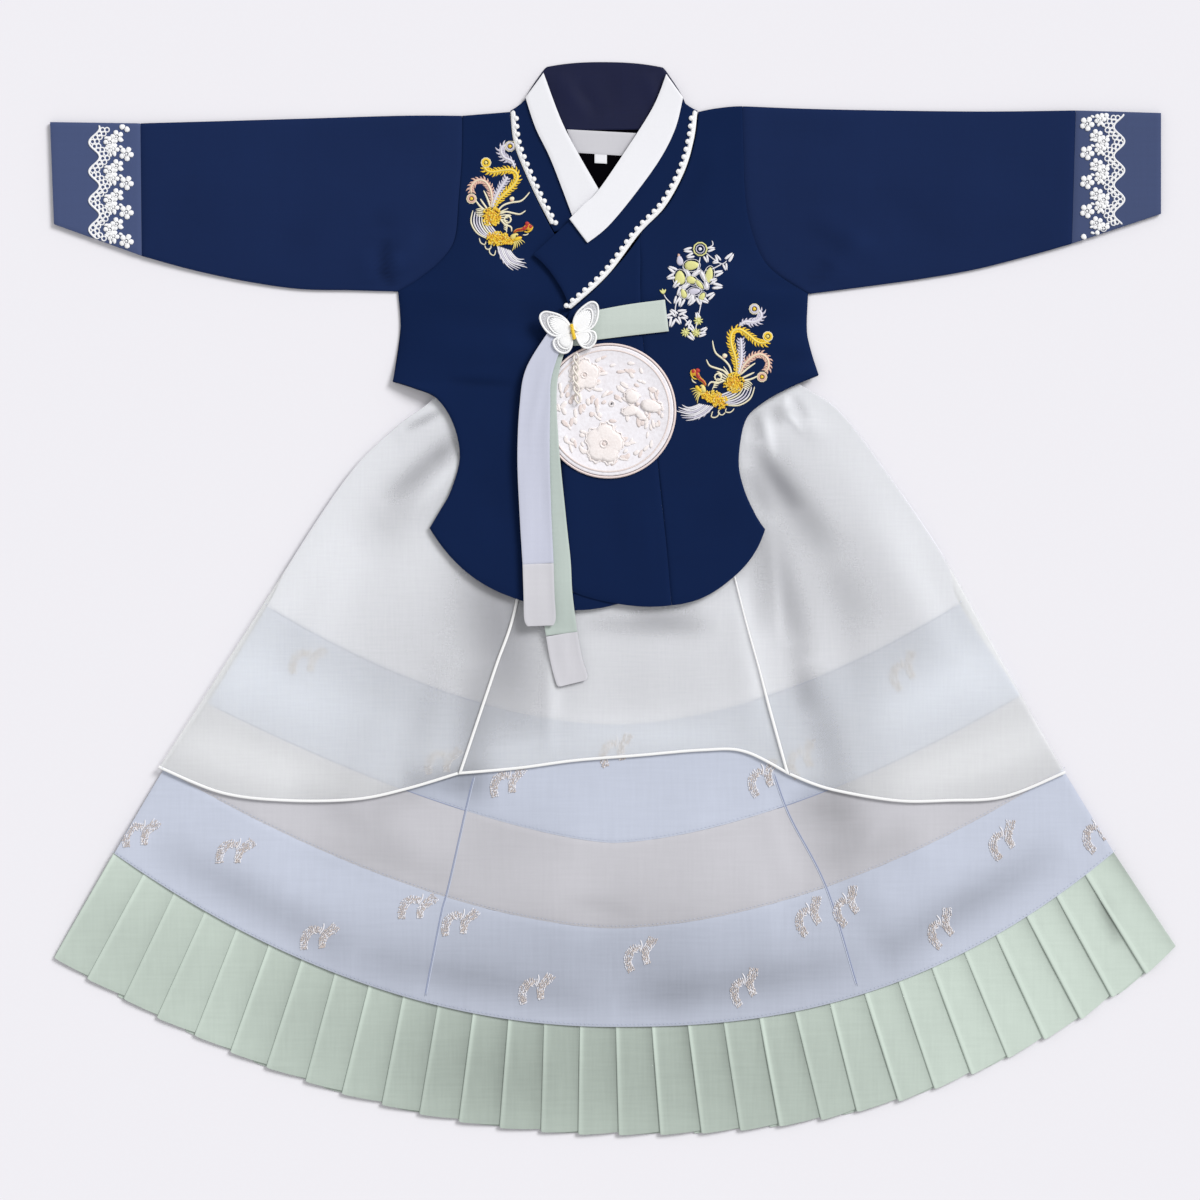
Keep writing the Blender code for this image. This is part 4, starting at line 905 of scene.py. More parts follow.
for side, is_front, wide, steps in (("back", False, 80, 6), ("front", True, 200, SKIRT_STEPS)):
    columns = np.linspace(-1, 1, wide + 1)
    layer = skirt_layer(columns, is_front, steps)
    if is_front:
        layer = creased(layer, FOLDS + SKIRT_CREASES)
        back_top = skirt_layer(columns, False, steps)[..., 2] + WALL
        layer[..., 2] = kept_above(layer[..., 2], back_top + LEAST_GAP)
    for band, top_place, low_place, slot, finish in BANDS:
        first, last = PLACES.index(top_place) * steps, PLACES.index(low_place) * steps
        cut = inset(layer[first:last + 1], bottom=-0.2)
        under = ["floor"] if not is_front else [f"skirt_{band}_back_cloth"]
        cloth(f"skirt_{band}_{side}_cloth", cut, finish,
              [f"skirt_{band}_{side}"], slot, under, painted_shade=painted_shade_of(cut, SKIRT_CREASES))
    top = skirt_line("waist", np.linspace(-1, 1, 41), is_front) + (0, SEAM_GAP, 0)
    rows = np.array([top + (0, WAISTBAND_RISE * share, 0) for share in np.linspace(1, 0, 8)])
    cloth(f"skirt_waistband_{side}_cloth", rows, "skirt_white", [f"skirt_waistband_{side}"], "white_cloth",
          ["jacket_back_panel"])

# %% [markdown]
# ## Pleated flounce
# The lowest band is knife pleats: a strip about a third longer than the seam, folded so that each
# pleat's left edge stands on top and its right side runs under the next one.  The profile of one pleat is
# a loop of heights and side steps, with a painted highlight along the fold edge and painted shade where
# it runs under the next pleat, and it is repeated along the seam and the hem.

# %% Pleats
PleatPoint = namedtuple("PleatPoint", "share step height shade drop")
PLEATS_FRONT = 30
PLEATS_BACK = 16
FLOUNCE_BACK_Z = 0.6
FLOUNCE_FRONT_Z = 4.5
HEM_SETTLE = 0.62          # how far the front hem settles towards the back one
# The shade column is painted: below zero a highlight on the fold edge, above zero shade under the next pleat.
PLEAT_PROFILE = [PleatPoint(*line) for line in (
    (0.0, -0.1, 1.6, 0.2, 0.2), (0.0, -0.4, 2.1, -0.2, 0.6), (0.0, 0.0, 2.6, -0.4, 1.0),
    (0.0, 1.1, 2.7, -0.3, 1.3), (0.12, 0, 2.6, -0.05, 1.4), (0.22, 0, 2.4, 0.0, 1.2),
    (0.4, 0, 1.9, 0.0, 0.8), (0.58, 0, 1.3, 0.02, 0.4), (0.74, 0, 0.8, 0.05, -0.1),
    (0.87, 0, 0.45, 0.11, -0.6), (0.95, 0, 0.3, 0.17, -0.9), (1.0, 0, 0.2, 0.24, -1.0),
    (1.0, 2.4, 0.0, 0.3, -1.0), (1.0, 4.4, 0.0, 0.3, -1.0), (1.0, 5.0, 0.4, 0.3, -0.8),
    (1.0, 4.4, 0.8, 0.3, -0.6), (1.0, 2.4, 0.9, 0.3, -0.3),
)]
LAST_PLEAT_POINTS = 12
# Painted shade across the flounce's middle, towards its left end, and in one gap between pleats.
FLOUNCE_SHADES = [Crease(*line) for line in (
    (-300, -340, 260, -380, 0, 90, 0.43), (-520, -220, -200, -330, 0, 60, 0.17),
    (-180, -350, -40, -390, 0, 40, 0.10), (376, -226, 392, -268, 0, 5, 0.40),
)]


def pleated_line(line, ahead, uneven, share_down, lift):
    """One row across the pleats: places, heights and painted shade."""
    row = []
    for i in range(len(line) - 1):
        run = line[i + 1] - line[i]
        side = run / np.linalg.norm(run)
        across = i / (len(line) - 2)
        tall = lift * (1 + uneven[i]) * (0.2 + 0.36 * across)
        # How strongly each pleat's painted shade and highlight show, stronger to the right and near the seam.
        deep = (1 + 2 * uneven[i]) * (0.5 + 0.7 * across) * (1.5 - 0.9 * share_down)
        profile = PLEAT_PROFILE if i < len(line) - 2 else PLEAT_PROFILE[:LAST_PLEAT_POINTS]
        for point in profile:
            flat = line[i] + run * point.share + side * point.step
            flat = flat + ahead[i] * point.drop * share_down ** 2
            row.append([flat[0], flat[1], point.height * tall, point.shade * deep])
    return np.array(row)


def flounce_grid(count, base, lift, seed, rows_down=16):
    """The pleated band from its seam to its hem, with pleats that spread unevenly, and its painted shade."""
    dice = random.Random(seed)
    fine = np.linspace(-1, 1, 801)
    seam = even(skirt_line("flounce", fine, True)[:, :2], count)
    hem = even(skirt_line("hem", fine, True)[:, :2], count)
    ahead = (hem - seam) / np.linalg.norm(hem - seam, axis=1, keepdims=True)
    shift = [dice.uniform(-0.9, 0.9) for _ in range(count + 1)]
    shift[0] = shift[-1] = 0
    lively = [dice.uniform(-0.2, 0.2) for _ in range(count)]
    rows = []
    for j in range(rows_down + 1):
        share = j / rows_down
        line = seam * (1 - share) + hem * share
        line[:, 0] += np.array(shift) * share * 1.6
        row = pleated_line(line, ahead, lively, share, lift)
        settled = base - HEM_SETTLE * (base - FLOUNCE_BACK_Z) * share
        row[:, 2] = settled + row[:, 2] * (0.5 + 0.5 * min(1, share * 3))
        rows.append(row)
    full = np.array(rows)
    shades = full[..., 3] + painted_shade_of(full, FLOUNCE_SHADES)
    return inset(full[..., :3], top=0.15), shades


for side, count, base, lift, seed in (("back", PLEATS_BACK, FLOUNCE_BACK_Z, 0.35, 4),
                                      ("front", PLEATS_FRONT, FLOUNCE_FRONT_Z, 1.0, 7)):
    pleats, shades = flounce_grid(count, base, lift, seed)
    cloth(f"skirt_flounce_{side}_cloth", pleats, "skirt_green", [f"skirt_flounce_{side}"], "green_cloth",
          ["floor" if side == "back" else "skirt_flounce_back_cloth"], wall=0.6, offset=0.0, painted_shade=shades)

# %% [markdown]
# ## Sheer overlay
# Over the skirt lies a crisp organza layer in three gores, with a narrow bound edge at its hem and at the
# sides of the middle gore.  Its outline is read from hem tables; its folds and its painted shade are
# those of the skirt below it, because the two lie together.

# %% Overlay tables
SEAM_LEFT = -0.31
SEAM_RIGHT = 0.39
HEM_LEFT = [(-352, -130), (-303, -150), (-252, -156), (-199, -155), (-160, -147), (-120, -135)]
HEM_MIDDLE = [(-120, -135), (-74, -131), (-29, -125), (21, -121), (69, -117), (101, -118), (136, -135.5)]
HEM_RIGHT = [(136, -135.5), (167, -147), (218, -156), (259, -156), (303, -153), (350, -134)]
HEM_BACK = [(-352, -130), (-240, -156), (-118, -140), (0, -124), (118, -140), (240, -156), (350, -134)]
OVERLAY_STEPS = 14
OVERLAY_LIFT = 1.6
OVERLAY_BACK_LIFT = -1.5
OVERLAY_FRONT_FALL = (5.7, 5.3, 4.9)
OVERLAY_BACK_FALL = (0.8, 0.0, 0.0)
BINDING = 1.9


def overlay_grid(first, last, wide, hem, is_front):
    """One gore of the overlay, from the waist to its own hem."""
    columns = np.linspace(first, last, wide + 1)
    front_lift = OVERLAY_LIFT - SIDE_DROP * columns ** 8
    lift = front_lift if is_front else np.full_like(columns, OVERLAY_BACK_LIFT)
    above = np.stack([columns * 0, columns * 0, lift], axis=1)
    rows = [skirt_line(place, columns, is_front) + above for place in PLACES[:5]]
    start = rows[-1]
    end = smooth(hem, wide)
    falls = OVERLAY_FRONT_FALL if is_front else OVERLAY_BACK_FALL
    for k, height in enumerate(falls):
        share = (k + 1) / len(falls)
        flat = start[:, :2] * (1 - share) + end * share
        rows.append(np.concatenate([flat, np.full((wide + 1, 1), height)], axis=1))
    grid = spans(np.array(rows), OVERLAY_STEPS if is_front else 5)
    if is_front:
        grid = creased(grid, FOLDS + SKIRT_CREASES)
        grid[..., 2] = kept_above(grid[..., 2], OVERLAY_LOWEST)
    return grid


def edge_strip(line, widths, lift):
    """A narrow strip beside a line of points, as a grid of five rows."""
    out = square_to(np.gradient(line[:, :2], axis=0)) * widths[:, None]
    rows = []
    for share in np.linspace(0, 1, 5):
        row = line.copy()
        row[:, :2] += out * share
        row[:, 2] += lift + 0.25 * math.sin(math.pi * share)
        rows.append(row)
    return np.array(rows)


# %% Overlay pieces
GORES = (
    ("left", -1, SEAM_LEFT, 70, HEM_LEFT),
    ("middle", SEAM_LEFT, SEAM_RIGHT, 72, HEM_MIDDLE),
    ("right", SEAM_RIGHT, 1, 66, HEM_RIGHT),
)
gore_grids = {}
cloth("overlay_back_gore", overlay_grid(-1, 1, 80, HEM_BACK, False), "organza_white", ["overlay_back"],
      "organza", ["floor"], wall=0.4)
for name, first, last, wide, hem in GORES:
    gore = overlay_grid(first, last, wide, hem, True)
    gore_grids[name] = gore
    bound = gore[-1].copy()
    widths = np.full(len(bound), BINDING)
    if name == "middle":
        top = 3 * OVERLAY_STEPS
        rise = gore[top:-1, 0]
        bound = np.concatenate([rise, bound, gore[top:-1, -1][::-1]])
        thin_side = np.interp(np.linspace(0, 1, len(rise)), (0, 0.3, 0.45, 1), (BINDING, BINDING, 1.0, 0.5))
        widths = np.concatenate([np.full(len(rise), BINDING), widths, thin_side])
    binding = trim(f"binding_{name}_strip", edge_strip(bound, widths, 0.8), "binding_white",
                   [f"overlay_binding_{name}"], 0.5)
    cloth(f"overlay_{name}_gore", inset(gore, 0.15, 0.15), "organza_white", [f"overlay_{name}"], "organza",
          ["skirt_white_front_cloth", "skirt_upper_blue_front_cloth"], wall=0.4, going=[binding],
          painted_shade=painted_shade_of(gore, SKIRT_CREASES))

# %% [markdown]
# ## Ties
# Two long ribbon ties hang from the knot at the breast: a lavender one with a grey end over a
# green one with a grey end.  A ribbon lies nearly flat, with a few long soft folds, and its edges curl up a
# little.

# %% Tie tables
TieRow = namedtuple("TieRow", "x y width z")
LAVENDER_TIE = [TieRow(*line) for line in (
    (-43, 206, 13, 16.3), (-57.2, 176, 20.6, 16.3), (-60.4, 150, 23.6, 16.3), (-61.5, 110, 25, 16.3),
    (-60, 66, 24.5, 14.7), (-58, 28, 24, 14.6),
)]
LAVENDER_END = [TieRow(*line) for line in (
    (-58, 28, 24, 14.6), (-57.3, 4, 24, 14.3), (-56.6, -14, 24.5, 13.2), (-56.4, -20, 20, 12.6),
)]
GREEN_TIE = [TieRow(*line) for line in (
    (-40, 205, 13, 14.9), (-52, 170, 18, 14.9), (-52, 126, 19, 14.9), (-48.5, 63, 24, 13.0),
    (-45.5, 30, 25, 12.9), (-44, 4, 25, 12.6), (-40, -26, 24.5, 8.8),
)]
GREEN_END = [TieRow(*line) for line in (
    (-40, -26.2, 24.5, 8.6), (-36.5, -46, 24.5, 7.4), (-32.2, -61, 24.8, 7.2), (-31.3, -64.6, 21, 7.1),
)]
TIE_LOOP = [TieRow(*line) for line in (
    (-20, 211, 22, 12.7), (12, 216, 24, 12.7), (40.5, 219.5, 24.5, 12.7),
)]
KNOT_CENTRE = (-33, 205)
KNOT_SIZE = (19, 17, 1.8)
TIE_CREASES = [Crease(*line) for line in (
    (-50, 190, -66, 120, 0.7, 4), (-56, 130, -53, 40, -0.5, 5), (-68, 110, -66, 20, 0.5, 4),
    (-46, 180, -56, 90, 0.4, 4), (-40, 60, -38, -20, 0.6, 5), (-52, 30, -46, -30, -0.4, 5),
    (-42, -20, -36, -62, 0.5, 5),
)]


def tie_grid(table, steps, curl=0.5, creases=TIE_CREASES):
    """A ribbon from its centre line, with edges that curl up a little."""
    centre = np.array([(row.x, row.y, row.z) for row in table])
    width = np.array([row.width for row in table])
    ahead = np.gradient(centre[:, :2], axis=0)
    ahead[0], ahead[-1] = centre[1, :2] - centre[0, :2], centre[-1, :2] - centre[-2, :2]
    out = square_to(ahead)
    left, right = centre.copy(), centre.copy()
    left[:, :2] -= out * width[:, None] / 2
    right[:, :2] += out * width[:, None] / 2
    left, middle, right = spans(left, steps), spans(centre, steps), spans(right, steps)
    u = np.linspace(-1, 1, 13)[None, :, None]
    flat = np.where(u < 0, middle[:, None] * (1 + u) - left[:, None] * u,
                    middle[:, None] * (1 - u) + right[:, None] * u)
    flat[..., 2] += curl * np.abs(u[..., 0]) ** 3
    return creased(flat, creases)


# %% Ribbons
for part, table, steps, finish, slot, under in (
        ("green", GREEN_TIE, 12, "tie_green", "tie_green", "jacket_overlap_panel"),
        ("green_end", GREEN_END, 8, "tie_grey", "tie_grey", "overlay_middle_gore"),
        ("lavender", LAVENDER_TIE, 12, "tie_lavender", "lavender_cloth", "ribbon_green"),
        ("lavender_end", LAVENDER_END, 8, "tie_grey", "tie_grey", "jacket_overlap_panel")):
    cloth(f"ribbon_{part}", tie_grid(table, steps), finish, [f"tie_{part}"], slot, [under], wall=0.6)


# %% Knot and loop
def folded_loop(table, thick):
    """A ribbon that runs out, folds over a round end and runs back on top of itself."""
    low = tie_grid(table, 10, 0.0, [])
    high = low[::-1].copy()
    turns = []
    for angle in np.linspace(-90, 90, 7)[1:-1]:
        lean = math.radians(angle)
        row = low[-1].copy()
        run = low[-1, :, :2] - low[-2, :, :2]
        row[:, :2] += run / np.linalg.norm(run, axis=1, keepdims=True) * math.cos(lean) * thick / 2
        row[:, 2] += thick / 2 * (1 + math.sin(lean))
        turns.append(row)
    high[..., 2] += thick
    u = np.linspace(-1, 1, high.shape[1])[None, :]
    v = np.linspace(1, 0, high.shape[0])[:, None]
    high[..., 2] += 0.6 * np.cos(3.1 * u + 1.2 * v) * (1 - v) * v * 2 + 0.7 * (1 - u ** 2) * v
    return np.concatenate([low, np.array(turns), high])


loop = folded_loop(TIE_LOOP, 1.1)
cloth("ribbon_loop", loop, "loop_green", ["tie_loop"], "tie_green", ["jacket_overlap_panel"], wall=0.5,
      offset=0.0)


def wrapped_knot(centre, size):
    """The knot: a rounded pad of ribbon with wrap lines across it."""
    half_x, half_y = size[0] / 2, size[1] / 2
    rows = []
    for v in np.linspace(0, 1, 25):
        row = []
        for u in np.linspace(-1, 1, 25):
            pinch = 1 - 0.22 * math.sin(math.pi * v) * abs(u)
            x = u * half_x * pinch
            y = (v - 0.5) * 2 * half_y
            crown = (1 - abs(u) ** 3) * (1 - abs(2 * v - 1) ** 4)
            wrap = 0.35 * math.sin(7 * u + 2.2 * v)
            row.append([centre[0] + x, centre[1] + y, 12.9 + crown * (size[2] + wrap)])
        rows.append(row)
    return np.array(rows)


cloth("ribbon_knot", wrapped_knot(KNOT_CENTRE, KNOT_SIZE), "tie_green", ["tie_knot"], "tie_green",
      ["jacket_overlap_panel"], wall=0.5)

# %% [markdown]
# ## Needlework
# Embroidery, lace and beads are hundreds of small raised shapes.  Each stroke of thread is a narrow
# closed strip with a rounded back, and its heights come from rays dropped on the finished cloth, so every
# stitch lies on what carries it.  All shapes of one thread share one mesh.

# %% The ground that stitches lie on
def ground_of(*names):
    """The upper surfaces of finished pieces, ready for rays."""
    depsgraph = bpy.context.evaluated_depsgraph_get()
    corners, faces = [], []
    for name in names:
        shown = pieces_made[name].evaluated_get(depsgraph)
        mesh = shown.to_mesh()
        start = len(corners)
        corners += [vert.co.copy() for vert in mesh.vertices]
        faces += [[start + index for index in face.vertices] for face in mesh.polygons]
        shown.to_mesh_clear()
    return BVHTree.FromPolygons(corners, faces)


STITCH_PROFILE = np.array([(-1.0, 0.0), (-0.72, 0.66), (0.0, 1.0), (0.72, 0.66), (1.0, 0.0), (0.0, -0.25),
                           (-1.0, 0.0)])
RAY_HEIGHT = 60            # rays start far over the cloth
SINK = 0.32                # how much of a small shape's thickness stays over its ground

# %% Small shapes to repeat
SHAPES = {}


def small_shape(kind, size):
    """Points and faces of a strip or a ball that an operator makes once, for all its repeats."""
    if (kind, size) not in SHAPES:
        made = bmesh.new()
        if kind == "strip":
            bmesh.ops.create_grid(made, x_segments=6, y_segments=size, size=1.0)
        else:
            bmesh.ops.create_uvsphere(made, u_segments=size, v_segments=5, radius=0.5)
        made.verts.index_update()
        points = np.array([vert.co[:] for vert in made.verts])
        SHAPES[kind, size] = points, [[vert.index for vert in face.verts] for face in made.faces]
        made.free()
    return SHAPES[kind, size]


# %% The needlework helper
class Needlework:
    """Small sewn shapes of one thread on one ground, joined into one mesh at the end."""

    def __init__(self, ground, level=None):
        self.ground = ground
        self.level = level
        self.points = []
        self.faces = []
        self.count = 0

    def height(self, x, y):
        if self.level is not None:
            return self.level
        hit = self.under(x, y)
        return hit.z / MM if hit else ORNAMENT_Z

    def under(self, x, y):
        """The ground's point under a place, or None."""
        return self.ground.ray_cast(mm(x, y, RAY_HEIGHT), Vector((0, 0, -1)))[0]

    def add(self, points, faces):
        self.points.append(points)
        self.faces += [[index + self.count for index in face] for face in faces]
        self.count += len(points)

    def stroke(self, points, widths, rise=0.6, spacing=1.2, closed=False):
        """A raised line of thread; widths are spread along it, and its ends are rounded."""
        rough = spans(np.asarray(points, float)[:, :2], 5)
        count = max(3, round(steps_of(rough).sum() / spacing))
        line = even(rough, count)
        share = np.linspace(0, 1, count + 1)
        half = np.interp(share, np.linspace(0, 1, len(widths)), widths) / 2
        if not closed:
            half = half * (1 - np.abs(2 * share - 1) ** max(6, count)) ** 0.5
        ahead = np.gradient(line, axis=0)
        if closed:
            ahead[0] = ahead[-1] = ahead[0] + ahead[-1]
        out = square_to(ahead)
        across = half[:, None] * STITCH_PROFILE[:, 0]
        base = np.array([self.height(*place) for place in line])
        full = np.minimum(1, half / max(half.max(), 1e-6) * 1.4)[:, None]
        rows = np.stack([line[:, :1] + out[:, :1] * across, line[:, 1:] + out[:, 1:] * across,
                         base[:, None] + rise * full * STITCH_PROFILE[:, 1]], axis=2)
        self.add(rows.reshape(-1, 3), small_shape("strip", count)[1])

    def ring(self, x, y, radius, width, rise=0.6):
        self.stroke(oval(x, y, radius, radius), (width, width), rise, radius * 0.6, closed=True)

    def petal(self, x, y, length, width, angle=0.0, rise=0.8, sides=8):
        """A flattened drop; angle is in degrees from the X axis."""
        ball, faces = small_shape("ball", sides)
        turn = math.radians(angle)
        along, across = ball[:, 0] * length, ball[:, 1] * width * (1 - 0.5 * ball[:, 0])
        self.add(np.stack([x + along * math.cos(turn) - across * math.sin(turn),
                           y + along * math.sin(turn) + across * math.cos(turn),
                           self.height(x, y) + (ball[:, 2] + SINK) * rise], axis=1), faces)

    def bead(self, x, y, radius, rise=None):
        self.petal(x, y, 2 * radius, 2 * radius, 0, rise or 1.3 * radius, 7)

    def turn_over(self, top):
        """Mirror everything in height, for the far side of a piece."""
        self.points = [points * (1, 1, -1) + (0, 0, top) for points in self.points]

    def finish(self, name, finish, slot, nodes=(), on=None):
        """Join the shapes, close the strips' seams and ends, and hand the mesh over as one piece."""
        mesh = bpy.data.meshes.new(name)
        mesh.from_pydata((np.concatenate(self.points) * MM).tolist(), [], self.faces)
        sewn = bmesh.new()
        sewn.from_mesh(mesh)
        bmesh.ops.remove_doubles(sewn, verts=sewn.verts, dist=0.002 * MM)
        bmesh.ops.dissolve_degenerate(sewn, edges=sewn.edges, dist=0.001 * MM)
        bmesh.ops.recalc_face_normals(sewn, faces=sewn.faces)
        for face in sewn.faces:
            face.smooth = True
        sewn.to_mesh(mesh)
        sewn.free()
        made = shown(name, mesh)
        mesh.materials.append(FINISHES[finish])
        join_frame(made, nodes)
        if on is not None:
            made.parent = on
        print(f"{name}: {len(mesh.polygons)} faces")


# %% [markdown]
# ## Phoenixes
# A pair of phoenixes is embroidered on the jacket, one at the right shoulder and one, turned the other
# way, low on the left front.  An embroiderer keeps one chart of a motif and turns or mirrors it, and so
# does this cell.  The body is packed with knots, long feathers have a light rib and forked barbs,
# and the wing and tail are loose bundles of pale thread.

# %% The phoenix chart
Place = namedtuple("Place", "x y mirror turn scale")
PHOENIX_PLACES = (Place(-94.2, 297.1, 1, 0.0, 1.0), Place(93.4, 168.0, -1, -30.0, 1.05))
GOLD_FEATHER = [(1.5, 4), (4.5, 11), (9.5, 17), (15, 22), (19, 27.5), (19.5, 32.5), (15.5, 35.8), (8, 35.4),
                (1, 34.2), (-4, 35.6), (-6.6, 39.5)]
PINK_FEATHER = [(-0.5, 6), (0.2, 14), (-1.6, 22), (-6, 27.4), (-12, 27.4), (-16, 22.6), (-15.6, 17.4)]
SILVER_FEATHER = [(0.4, 6), (2.4, 13), (5.6, 20), (9.4, 26), (12.6, 31)]
SILVER_UPPER = [(18, 37), (15.4, 42.6), (10.4, 45), (7.6, 48.6), (7.6, 53), (11.5, 55.4)]
TENDRILS = (
    [(4.5, 4), (9, 8.4), (15, 10.6), (22, 11.6), (26, 14.6), (29.6, 19)],
    [(6, 2), (11, 3.4), (16.5, 2.4), (22, 1.6), (26.6, 4.6)],
    [(-3, 5), (-6.2, 9.6), (-9.2, 14)],
    [(-4.5, 4), (-9.4, 8.2), (-13, 13.4)],
    [(-0.8, 6.5), (-3.4, 14), (-6.4, 20.4)],
    [(6.4, -2), (10.4, -6.4), (15, -8.4), (15.4, -12.6)],
    [(9.4, -2.2), (12, 0.6), (15.6, 0.4)],
)
COMB = [(16.8, -13.2), (19.6, -11.0), (23.4, -10.4), (26.4, -8.8), (29, -6.6)]
BEARD_ROOT = (17, -19)
TAIL_TIPS = [(17.2, -42.4), (21.0, -42.0), (22.6, -40.8), (28.0, -40.0), (26.0, -38.2), (27.2, -36.4),
             (23.6, -35.4), (25.6, -33.4)]
BARB_STEP = 2.3
THREADS = ("gold", "amber", "pale", "pink", "silver", "white", "cream", "red")


def chart(place, points):
    """Points of the chart at their place on the jacket."""
    turn = math.radians(place.turn)
    points = np.atleast_2d(np.asarray(points, float)) * place.scale
    x, y = points[:, 0] * place.mirror, points[:, 1]
    return np.stack([place.x + x * math.cos(turn) - y * math.sin(turn),
                     place.y + x * math.sin(turn) + y * math.cos(turn)], axis=1)


def feather(barb, rib, place, points, reach, plump):
    """A long feather: a plump line, barbs that point to its tip, and a light rib."""
    line = chart(place, smooth(points, max(6, 4 * len(points))))
    barb.stroke(line, (plump * 0.5, plump, plump, plump * 0.8), 0.7)
    for k, root in enumerate(even(line, round(steps_of(line).sum() / BARB_STEP))[1:-1]):
        near = np.argmin(np.linalg.norm(line - root, axis=1))
        run = line[min(near + 1, len(line) - 1)] - line[max(near - 1, 0)]
        run /= np.linalg.norm(run)
        side = np.array([-run[1], run[0]])
        for hand in (-1, 1):
            swell = reach * (0.85 + 0.3 * ((k * 7 + hand) % 3) / 2) * min(1, 0.45 + k / 5)
            tip = root + (run * 0.85 + side * hand) * swell
            barb.stroke([root, root + (run * 0.25 + side * hand * 0.6) * swell, tip],
                        (1.6, 1.5, 0.2), 0.65)
    rib.stroke(line, (0.8, 1.2, 1.1, 0.8), 1.15)


def knots(works, place, centre, half_x, half_y, count, dice):
    """A rounded square packed with small knots of several threads."""
    for k in range(count):
        u, v = dice.uniform(-1, 1), dice.uniform(-1, 1)
        x, y = chart(place, (centre[0] + half_x * u * math.sqrt(1 - 0.35 * v * v),
                             centre[1] + half_y * v * math.sqrt(1 - 0.35 * u * u)))[0]
        works[k % len(works)].petal(x, y, 2.0, 1.2, dice.uniform(0, 180), 2.2 - 0.8 * max(abs(u), abs(v)), 6)


# %% Both phoenixes
SWEEP_ORDER = (0, 1, 2, 1, 0, 1, 2, 1)


